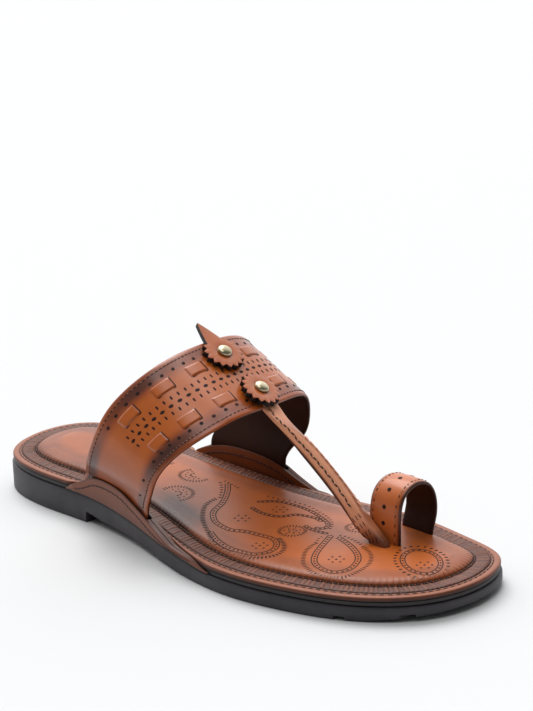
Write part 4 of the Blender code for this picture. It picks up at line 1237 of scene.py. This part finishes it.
def make_instep():
    """The strap's wall: outer face, rounded dark edges and lining."""
    runs = np.linspace(0, STRAP_RUN[-1], STRAP_STATIONS)
    values = strap_share(runs)
    rim = np.array([0.0, 0.004, 0.012, 0.022])
    across = np.concatenate([rim, np.linspace(0.04, 0.96, 36), 1 - rim[::-1]])
    half = STRAP_WALL / 2
    round_off = np.interp(np.minimum(across, 1 - across) * STRAP_WIDTH,
                          (0, 0.0002, 0.0006, 0.0012), (0.0007, 0.0003, 0.0001, 0.0))
    count = len(across)
    u = np.repeat(values, count)
    v = np.tile(across, len(values))
    lift = np.tile(half - round_off, len(values))
    outside = strap_point(u, v, lift)
    inside = strap_point(u, v, -lift)
    base = len(values) * count
    near = np.minimum(v, 1 - v) * STRAP_WIDTH
    along = np.repeat(runs, count)
    patch = 0.80 + 0.20 * np.sin(along / 0.0085 + 2.0 * (v > 0.5)) * np.sin(along / 0.023)
    patch *= 0.62 + 0.38 * smooth((np.abs(along - CROWN_RUN) - 0.018) / 0.030)
    edge = patch * (0.50 + 0.42 * smooth(near / 0.0045)) * (1 - smooth((near - 0.0048) / 0.0080))
    low = np.minimum(along, STRAP_RUN[-1] - along)
    foot = 0.38 * (1 - smooth((low - 0.012) / 0.034))
    stain = np.concatenate([np.maximum(edge, foot), np.full(base, 0.5)])
    outer = quads(len(values), count)
    faces = outer + quads(len(values), count, start=base, flip=True)
    for i in range(len(values) - 1):
        for k in (0, count - 1):
            a, b = i * count + k, (i + 1) * count + k
            faces.append((a, b, base + b, base + a) if k else (b, a, base + a, base + b))
    for i in (0, len(values) - 1):
        for a in range(i * count, (i + 1) * count - 1):
            face = (a, a + 1, base + a + 1, base + a)
            faces.append(face[::-1] if i else face)
    which = [0] * len(outer) + [1] * len(outer) + [2] * (len(faces) - 2 * len(outer))
    piece("instep_strap", np.vstack([outside, inside]), faces, [STRAP_LEATHER, LINING, STRAP_EDGE],
          "tan_leather", which=which, stain=stain, sharp=60.0, replaces=("upper",))


def fading(share, width):
    """1 at the start of a share, easing to 0 at the given width."""
    return 1 - smooth(share / width)


def make_tabs():
    """Domed strips woven through the strap, dark at one end and along the front side: painted shade where
    each strip dips into its slot and on its shaded front side.
    """
    heap = Heap()
    half = STRAP_WALL / 2
    n, m = 23, 17
    a, b = np.repeat(np.linspace(0, 1, n), m), np.tile(np.linspace(0, 1, m), n)
    end = smooth(np.minimum(a, 1 - a) / 0.09)
    side = smooth(np.minimum(b, 1 - b) / 0.13)
    bow = 0.00018 * (1 - (2 * a - 1) ** 2)
    dome = half - 0.0002 + (TAB_RISE + bow) * (0.35 + 0.65 * end) * (0.40 + 0.60 * side)
    # Painted shade: darkest at the slot end and along the front side, lighter at the other end and side
    stain = (0.40 * fading(1 - a, 0.12) + 0.30 * fading(a, 0.10) + 0.40 * fading(1 - b, 0.16)
             + 0.20 * fading(b, 0.12) + 0.05)
    size = n * m
    faces = quads(n, m, start=size) + quads(n, m, flip=True)
    rim = [*range(m), *range(2 * m - 1, size, m), *range(size - 2, size - m - 1, -1),
           *range(size - 2 * m, 0, -m)]
    for first, second in zip(rim, rim[1:] + rim[:1]):
        faces.append((first, second, size + second, size + first))
    for centre in TAB_CENTRES:
        u = strap_share(centre + (a - 0.5) * TAB_LENGTH)
        for row in (REAR_TABS, FRONT_TABS):
            v = row + (b - 0.5) * TAB_WIDTH / STRAP_WIDTH
            heap.add(np.vstack([strap_point(u, v, half - 0.0004), strap_point(u, v, dome)]), faces)
    stains = np.tile(np.concatenate([np.ones(size), stain]), 2 * len(TAB_CENTRES))
    heap.make("woven_tabs", [STRAP_LEATHER], "tan_leather", stain=np.minimum(stains, 1.0), sharp=70.0)


def strap_blot(heap, run, row, length, width, corners=10, power=1.0, start=0.5, lift=0.00006):
    """A thin dark solid let into the strap's face, length along the strap."""
    ring = np.array([squarish(2 * math.pi * (k + start) / corners, power) for k in range(corners)])
    u, v = strap_share(run + ring[:, 0] * length / 2), row + ring[:, 1] * width / 2 / STRAP_WIDTH
    high = strap_point(u, v, STRAP_WALL / 2 + lift)
    low = strap_point(u, v, STRAP_WALL / 2 - 0.0005)
    heap.prism(low[::-1], high[::-1])


def make_strap_marks():
    """Dark fills for punched holes along both edges and for three rows of slots in the middle, painting the
    shade inside them, and painted shadows beside the tabs.
    """
    heap = Heap()
    for number in range(-15, 16):
        run = CROWN_RUN + (number + 0.5) * TAB_PITCH / 3
        low = min(run, STRAP_RUN[-1] - run)
        for row in PINHOLE_ROWS:
            if low > 0.036 or row > 0.5 and low > 0.013 and number % 2:
                strap_blot(heap, run, row, *PINHOLE)
    reach = TAB_PITCH * 3.45
    for number in range(-14, 14):
        run = (number + 0.5) * TAB_PITCH / 4
        if abs(run) < reach:
            strap_blot(heap, CROWN_RUN + run, 0.5, *MIDDLE_SLOT, 8, 1.2, 0.0)
    for number in range(-18, 19):
        run = number * TAB_PITCH / 5
        if abs(run) < reach:
            for apart in (-SLOT_APART, SLOT_APART):
                strap_blot(heap, CROWN_RUN + run, 0.5 + apart / STRAP_WIDTH, *SIDE_SLOT, 8, 0.6)
    # Painted shadows: a dark strip at each tab's slot end and along its front side
    for centre in TAB_CENTRES:
        for row in (REAR_TABS, FRONT_TABS):
            front = row + (TAB_WIDTH / 2 + 0.0002) / STRAP_WIDTH
            end = centre + TAB_LENGTH / 2 + 0.0001
            strap_blot(heap, end, row, 0.0005, TAB_WIDTH * 1.02, 8, 0.4, lift=0.0001)
            strap_blot(heap, centre + 0.0004, front, TAB_LENGTH * 0.98, 0.0006, 8, 0.4, lift=0.0001)
    heap.make("strap_marks", [MARK_AND_SHADE], "brown_leather")


def make_strap_stitches():
    heap = Heap()
    inset = STITCH_INSET / STRAP_WIDTH
    for number in range(int((STRAP_RUN[-1] - 0.016) / STRAP_PITCH)):
        run = 0.008 + (number + 0.5) * STRAP_PITCH
        for row in (inset, 1 - inset):
            u = strap_share(run)
            at, ahead = (strap_point(share, row, STRAP_WALL / 2 + 0.00003)[0]
                         for share in (u, strap_share(run + 0.0005)))
            out = strap_normal(np.array([u]), np.array([row]))[0]
            along = unit(ahead - at)
            heap.stitch(at, along, np.cross(out, along), out, *STRAP_STITCH)
            if abs(run - CROWN_RUN) > 0.024:
                middle = at + along * (STRAP_PITCH / 2)
                heap.stitch(middle, along, np.cross(out, along), out, *STRAP_DOT, 1)
    heap.make("strap_stitches", [THREAD, LIGHT_THREAD], "brown_leather")


make_ear("lateral_ear_leather", "lateral_ear", LATERAL, *LATERAL_EAR, LATERAL_EAR_TOP,
         STRAP_ROWS[0][0, 1], STRAP_ROWS[1][STRAP_FOOT_ROWS - 1, 1])
make_ear("medial_ear_leather", "medial_ear", MEDIAL, *MEDIAL_EAR, MEDIAL_EAR_TOP,
         STRAP_ROWS[0][-1, 1], STRAP_ROWS[1][-STRAP_FOOT_ROWS, 1])
ear_stitches()
make_instep()
make_tabs()
make_strap_marks()
make_strap_stitches()


# Toe strap

BED_TOP = float(edge_height(RING_MIDDLE)) + CUSHION_RISE
SLOT_BOTTOM = float(midsole_top(RING_MIDDLE)) + GAP


def toe_strap_rows():
    """Centre, dip, width, thickness and roll: flat under the rosette, then down to the slot."""
    end = strap_point(CROWN, FRONT_RIVET - 0.14, STRAP_WALL / 2)[0]
    edge = strap_point(CROWN, 1.0, STRAP_WALL / 2)[0]
    dip = math.degrees(math.atan2(end[2] - edge[2], edge[1] - end[1]))
    rows = [(TOE_STRAP_X, end[1], end[2], dip, 1.30, 0.25, 0.0)]
    for along, height, tilt, wide, thick, roll in TOE_STRAP:
        y = edge[1] + along * (RING_MIDDLE - edge[1])
        z = BED_TOP + height * (edge[2] - BED_TOP)
        rows.append((TOE_STRAP_X, y, z, tilt, wide, thick, roll))
    rows = np.array(rows)
    rows[-1, 2] = SLOT_BOTTOM
    return rows


def toe_strap_frames(count):
    """Stations of the toe strap: centre, directions of width, thickness and run, half sizes, share."""
    rows = toe_strap_rows()
    knots, _ = spline(rows[:, :3])
    path = spline_on(knots, rows)
    frames = []
    for share in np.linspace(0, 1, count):
        x, y, z, dip, wide, thick, roll = path(share)[0]
        y = min(y, rows[-1, 1])
        dip, turn = math.radians(dip), math.radians(roll)
        side = np.array([1.0, 0.0, 0.0])
        up = np.array([0.0, math.sin(dip), math.cos(dip)])
        first = side * math.cos(turn) + up * math.sin(turn)
        second = up * math.cos(turn) - side * math.sin(turn)
        ahead = np.array([0.0, math.cos(dip), -math.sin(dip)])
        frames.append((np.array([x, y, z]), first, second, ahead, wide * TOE_STRAP_WIDTH / 2,
                       thick * TOE_STRAP_THICKNESS / 2, share))
    return frames


def toe_strap_stops(pitch, first, last, count=600):
    """Number and station of each repeat along the toe strap, between two shares of its run."""
    frames = toe_strap_frames(count)
    run = lengths(np.array([frame[0] for frame in frames]))
    start, finish = run[int(first * count)], run[int(last * count)]
    return [(number, frames[int(np.searchsorted(run, start + (number + 0.5) * pitch))])
            for number in range(int((finish - start) / pitch))]


def tube(rows, columns):
    """Faces of a closed tube whose rows run the other way round."""
    return quads(rows, columns, flip=True, around=True) + [face[::-1] for face in lids(rows, columns)]


def make_toe_strap():
    frames = toe_strap_frames(160)
    corners = 28
    rows = []
    stains = []
    for centre, first, second, _, wide, thick, share in frames:
        base = 0.72 * smooth((share - 0.80) / 0.12)
        for k in range(corners):
            angle = 2 * math.pi * (k + 0.5) / corners
            a, b = squarish(angle, LACE_SQUARE)
            rows.append(centre + first * a * wide + second * b * thick * LACE_FLAT)
            s = math.sin(angle)
            face = 0.10 + 0.80 * smooth((-s - 0.30) / 0.40)
            face += 0.45 * smooth((s - 0.40) / 0.5) * smooth((share - 0.2) / 0.1)
            stains.append(min(1.0, max(face, base)))
    piece("toe_strap", rows, tube(len(frames), corners), [LACE_LEATHER], "tan_leather",
          stain=stains, sharp=60.0)


def make_plait():
    """Strands that cross over the medial face of the toe strap."""
    heap = Heap()
    stains = []
    steps, sides = 9, 10
    for _, (centre, first, second, ahead, wide, thick, _) in toe_strap_stops(BRAID_PITCH, 0.36, 0.78):
        half = wide * 0.66
        for sign in (-1, 1):
            middle = centre + second * (thick - 0.0004) + first * (sign * half * 0.40)
            middle = middle + ahead * (0.25 * sign * BRAID_PITCH)
            direction = unit(ahead * 0.78 + first * (-sign * 0.62))
            aside = np.cross(second, direction)
            rings = []
            for i in range(steps):
                t = i / (steps - 1) - 0.5
                body = math.sqrt(max(0.04, 1 - (2 * t) ** 2))
                for k in range(sides):
                    angle = 2 * math.pi * k / sides
                    rings.append(middle + direction * t * half * 1.9
                                 + aside * math.cos(angle) * BRAID_PITCH * 0.42 * body
                                 + second * math.sin(angle) * 0.0006 * body)
                    stains.append(0.20 + 0.60 * (1 - body) + 0.25 * (math.sin(angle) < 0.2))
            heap.add(rings, tube(steps, sides))
    heap.make("toe_strap_plait", [LACE_LEATHER], "tan_leather", stain=np.minimum(stains, 1.0), sharp=70.0)


def make_seam():
    """The scalloped seam on the toe strap's smooth face, and long thin lines at its base."""
    heap = Heap()
    for number, (centre, first, second, ahead, wide, thick, share) in toe_strap_stops(SEAM_PITCH, 0.13, 0.77):
        turn = math.radians(90 * (1 - float(smooth((share - 0.10) / 0.26))))
        c, s = math.cos(turn), math.sin(turn)
        out = first * c + second * s
        a, b = squarish(turn, LACE_SQUARE)
        place = centre + first * (a * wide) + second * (b * thick * LACE_FLAT)
        across = np.cross(out, ahead)
        side = 1 if number % 2 else -1
        along = unit(ahead + across * (STITCH_LEAN * side))
        heap.stitch(place, along, np.cross(out, along), out, *SEAM_STITCH)
        light = place + ahead * (SEAM_PITCH / 2) + across * (0.0004 * side)
        heap.stitch(light, ahead, across, out, *SEAM_DOT, 1)
    count = 600
    frames = toe_strap_frames(count)
    for share in (0.80, 0.84, 0.88, 0.92):
        centre, first, second, ahead, wide, thick, _ = frames[int(share * count)]
        for row in (-0.45, 0.0, 0.45):
            slant = ahead * 0.99 + second * 0.12
            place = centre + first * (wide * 0.97) + second * (row * thick)
            heap.stitch(place, slant, np.cross(first, slant), first, *SEAM_LINE)
    heap.make("toe_strap_seam", [THREAD, LIGHT_THREAD], "brown_leather")


make_toe_strap()
make_plait()
make_seam()


# Toe ring

def ring_path(count):
    """Places on the ring's mid-line with the outward direction at each."""
    rows = [(RING_X + across * (RING_OUTER - RING_WALL) / 2, BED_TOP + height * RING_RISE)
            for across, height in RING]
    rows[0] = (rows[0][0], SLOT_BOTTOM)
    rows[-1] = (rows[-1][0], SLOT_BOTTOM)
    _, path = spline(rows)
    found = []
    for share in np.linspace(0, 1, count):
        x, z = path(share)[0]
        dx, dz = (path(min(share + 0.004, 1)) - path(max(share - 0.004, 0)))[0]
        size = math.hypot(dx, dz)
        found.append((x, z, dz / size, -dx / size))
    return found


def make_ring():
    path = ring_path(110)
    half = RING_WALL / 2
    stops = (0.0, 0.03, 0.09, 0.20, 0.35, 0.5, 0.65, 0.80, 0.91, 0.97, 1.0)
    rows = []
    stains = []
    for number, (x, z, nx, nz) in enumerate(path):
        for share, sign in [(s, 1) for s in stops] + [(s, -1) for s in stops[::-1]]:
            edge = min(share, 1 - share)
            lift = sign * (half - 0.0005 * (1 - smooth(edge / 0.05)))
            lift += RING_BULGE * math.sin(math.pi * share) if sign > 0 else 0.0
            rows.append((x + nx * lift, RING_REAR + RING_WIDTH * share, z + nz * lift))
            stains.append(0.9 - 0.8 * float(smooth(edge / 0.12)) if sign > 0 else 0.6)
    flat = len(stops) - 1
    count = len(stops) * 2
    faces = quads(len(path), count, around=True) + lids(len(path), count)
    around = [0 if k < flat else 2 if k in (flat, count - 1) else 1 for k in range(count)]
    which = around * (len(path) - 1) + [2, 2]
    piece("ring_leather", rows, faces, [RING_LEATHER, LINING, STRAP_EDGE], "tan_leather", which=which,
          stain=stains, sharp=60.0, replaces=("toe_ring",))
    marks = Heap()
    threads = Heap()
    fine = ring_path(900)
    run = lengths(np.array(fine)[:, :2])
    ahead = np.array([0.0, 1.0, 0.0])

    def frame_at(at, share, lift):
        x, z, nx, nz = fine[int(np.searchsorted(run, at))]
        out = np.array([nx, 0.0, nz])
        centre = np.array([x, RING_REAR + RING_WIDTH * share, z]) + out * (half + lift)
        return centre, np.array([-nz, 0.0, nx]), out

    angles = np.linspace(0, 2 * math.pi, 11)[:-1, None]
    # Dark fills for the punched holes, painting the shade inside them
    for number in range(int(run[-1] / RING_HOLE_PITCH)):
        at = 0.003 + (number + 0.5) * RING_HOLE_PITCH
        if 0.012 < at < run[-1] - 0.010:
            centre, along, out = frame_at(at, 0.5, 0.00048)
            ring = centre + 0.0010 * (along * np.cos(angles) + ahead * np.sin(angles))
            marks.prism(ring - out * 0.0006, ring + out * 0.00012)
    for number in range(int(run[-1] / RING_STITCH_PITCH)):
        at = (number + 0.5) * RING_STITCH_PITCH
        if 0.004 < at < run[-1] - 0.004:
            for share in (0.13, 0.87):
                centre, along, out = frame_at(at, share, RING_BULGE * math.sin(math.pi * share) + 0.00002)
                threads.stitch(centre, along, ahead, out, *RING_STITCH, number % 2)
    marks.make("ring_marks", [MARK_AND_SHADE], "brown_leather")
    threads.make("ring_stitches", [THREAD, LIGHT_THREAD], "brown_leather")


make_ring()


# Rosettes and rivets

def rosette_lift(front):
    return STRAP_WALL / 2 + GAP + (TOE_STRAP_END if front else 0.0)


def on_strap(row, a, b, lift):
    step = 1e-3
    centre = strap_middle(CROWN, row)
    along = np.linalg.norm(strap_middle(CROWN + step, row) - centre) / step
    return strap_point(CROWN + a / along, row - b / STRAP_WIDTH, lift)[0]


def rosette_outline(spiked):
    rows = []
    for angle in np.linspace(0, 2 * math.pi, 193)[:-1]:
        phase = (angle * ROSETTE_TEETH / (2 * math.pi)) % 1.0
        fall = abs(phase if phase < 0.5 else 1 - phase) * 2
        radius = ROSETTE_RADIUS - ROSETTE_TOOTH * fall
        a, b = radius * math.cos(angle), radius * math.sin(angle)
        if spiked and abs(a) < SPIKE_WIDTH / 2 and b > 0:
            share = abs(a) / (SPIKE_WIDTH / 2)
            b = SPIKE_LENGTH - (SPIKE_LENGTH - ROSETTE_RADIUS * 0.86) * share ** 1.15
        rows.append((a, b))
    return np.array(rows)


def make_rosette(name, node, row, front):
    outline = rosette_outline(not front)
    count = len(outline)
    low = rosette_lift(front)
    high = low + ROSETTE_THICKNESS
    # Levels: share of the outline, height and darkening; the side wall is dyed dark, and the darkening
    # towards the middle is a painted shadow ring round the rivet's rim.
    levels = ((0.12, low, 1.0), (1.0, low, 1.0), (1.0, high - 0.0003, 0.7), (0.985, high, 0.20),
              (0.88, high + 0.0001, 0.08), (0.72, high + 0.0002, 0.05), (0.52, high + 0.0001, 0.08),
              (0.40, high - 0.0001, 0.40), (0.12, high - 0.0002, 0.8))
    rows = []
    stains = []
    plain = ROSETTE_RADIUS - ROSETTE_TOOTH / 2
    round_one = outline * (plain / np.linalg.norm(outline, axis=1))[:, None]
    for share, lift, stain in levels:
        keep = float(smooth((share - 0.66) / 0.34))
        for (a, b), (c, d) in zip(outline, round_one):
            x = share * (a * keep + c * (1 - keep))
            y = share * (b * keep + d * (1 - keep))
            rows.append(on_strap(row, x, y, lift))
            stains.append(stain)
    faces = quads(len(levels), count, flip=True, around=True, along=True)
    which = np.repeat([int(level in (0, 1, len(levels) - 1)) for level in range(len(levels))], count)
    piece(name, rows, faces, [STRAP_LEATHER, CUT_EDGE_AND_SHADE], "tan_leather", which=which, stain=stains, sharp=45.0,
          replaces=(node,))


def make_rivet(name, node, row, front):
    base = Vector(on_strap(row, 0, 0, 0))
    up = (Vector(on_strap(row, 0, 0, 0.001)) - base).normalized()
    rear = (Vector(on_strap(row, 0, 0.001, 0)) - base).normalized()
    first = rear.cross(up).normalized()
    second = up.cross(first)
    seat = rosette_lift(front) + ROSETTE_THICKNESS
    profile = []
    for turn in np.linspace(4, 90, 14):
        angle = math.radians(turn)
        profile.append((RIVET_RADIUS * math.sin(angle), seat + 0.0003 + RIVET_DOME * math.cos(angle) ** 0.85))
    under = -STRAP_WALL / 2
    profile += [(RIVET_RADIUS * 0.99, seat + 0.0001), (RIVET_RADIUS * 0.94, seat - 0.0002),
                (SHANK_RADIUS, seat - 0.0002), (SHANK_RADIUS, under - GAP), (TAIL_RADIUS, under - GAP),
                (TAIL_RADIUS - 0.0001, under - 0.0009), (0.0010, under - 0.0011)]
    sides = 56
    rows = []
    for radius, height in profile:
        for k in range(sides):
            angle = 2 * math.pi * k / sides
            spoke = first * math.cos(angle) + second * math.sin(angle)
            rows.append(base + spoke * radius + up * height)
    faces = [face[::-1] for face in tube(len(profile), sides)]
    piece(name, rows, faces, [BRASS], "antique_brass", sharp=40.0, replaces=(node,))


make_rosette("rear_rosette_leather", "rear_rosette", REAR_RIVET, False)
make_rosette("front_rosette_leather", "front_rosette", FRONT_RIVET, True)
make_rivet("rear_rivet_brass", "rear_rivet", REAR_RIVET, False)
make_rivet("front_rivet_brass", "front_rivet", FRONT_RIVET, True)


# Stage, light and camera

PAPER = Look("paper", roughness=0.9)
PAPER.shader.inputs["Base Color"].default_value = colour(222, 223, 223)
FLOOR_SIZE = 20.0
FLOOR_MESH = bpy.data.meshes.new("floor")
FLOOR_CORNERS = [(x * FLOOR_SIZE, y * FLOOR_SIZE, 0) for x, y in ((-1, -1), (1, -1), (1, 1), (-1, 1))]
FLOOR_MESH.from_pydata(FLOOR_CORNERS, [], [(0, 1, 2, 3)])
FLOOR_MESH.materials.append(PAPER.made)
show("floor", FLOOR_MESH)

BACKDROP = Vector((-0.50, -0.75, 0.35)).normalized()


def make_world():
    """A white studio that is brightest behind and above the sandal and darker at its sides."""
    world = bpy.data.worlds.new("studio")
    world.use_nodes = True
    tree = world.node_tree
    background = tree.nodes["Background"]
    where = tree.nodes.new("ShaderNodeTexCoord")
    dot = tree.nodes.new("ShaderNodeVectorMath")
    dot.operation = "DOT_PRODUCT"
    dot.inputs[1].default_value = BACKDROP
    tree.links.new(where.outputs["Generated"], dot.inputs[0])
    ramp = tree.nodes.new("ShaderNodeMapRange")
    ramp.interpolation_type = "SMOOTHSTEP"
    for socket, value in (("From Min", 0.0), ("From Max", 0.95), ("To Min", 0.13), ("To Max", 1.50)):
        ramp.inputs[socket].default_value = value
    tree.links.new(dot.outputs["Value"], ramp.inputs["Value"])
    tree.links.new(ramp.outputs["Result"], background.inputs["Strength"])
    background.inputs["Color"].default_value = (0.98, 0.98, 1.0, 1.0)
    bpy.context.scene.world = world
    bpy.context.scene.view_settings.view_transform = "Standard"


def sun(name, direction, spread, strength):
    """A softbox far away in the given direction, spread in degrees across."""
    light = bpy.data.lights.new(name, "SUN")
    light.angle = math.radians(spread)
    light.energy = strength
    made = show(name, light)
    made.rotation_euler = Vector(direction).to_track_quat("Z", "Y").to_euler()


make_world()
sun("back_softbox", (-0.30, -0.55, 1.00), 36, 1.75)
sun("top_softbox", (0.30, 0.10, 1.0), 34, 0.75)

AZIMUTH = math.radians(136.2)
ELEVATION = math.radians(17.3)
ROLL = math.radians(-1.97)
DISTANCE = 1.312
SENSOR = 36.0
FOCAL_PIXELS = 2336.3
PICTURE_HEIGHT = 711.0
TARGET = Vector((-0.1973, -0.0428, 0.0))
BACK = Vector((math.sin(AZIMUTH) * math.cos(ELEVATION), -math.cos(AZIMUTH) * math.cos(ELEVATION),
               math.sin(ELEVATION)))
RIGHT = Vector((0, 0, 1)).cross(BACK).normalized()
UP = BACK.cross(RIGHT)
RIGHT, UP = RIGHT * math.cos(ROLL) + UP * math.sin(ROLL), UP * math.cos(ROLL) - RIGHT * math.sin(ROLL)
POSITION = TARGET + BACK * DISTANCE + Vector(SHIFT)
VIEW = Matrix((RIGHT, UP, BACK)).transposed().to_4x4()
CAMERA = show("camera", bpy.data.cameras.new("camera"))
CAMERA.matrix_world = Matrix.Translation(POSITION) @ VIEW
CAMERA.data.sensor_width = SENSOR
CAMERA.data.lens = FOCAL_PIXELS * SENSOR / PICTURE_HEIGHT
bpy.context.scene.camera = CAMERA
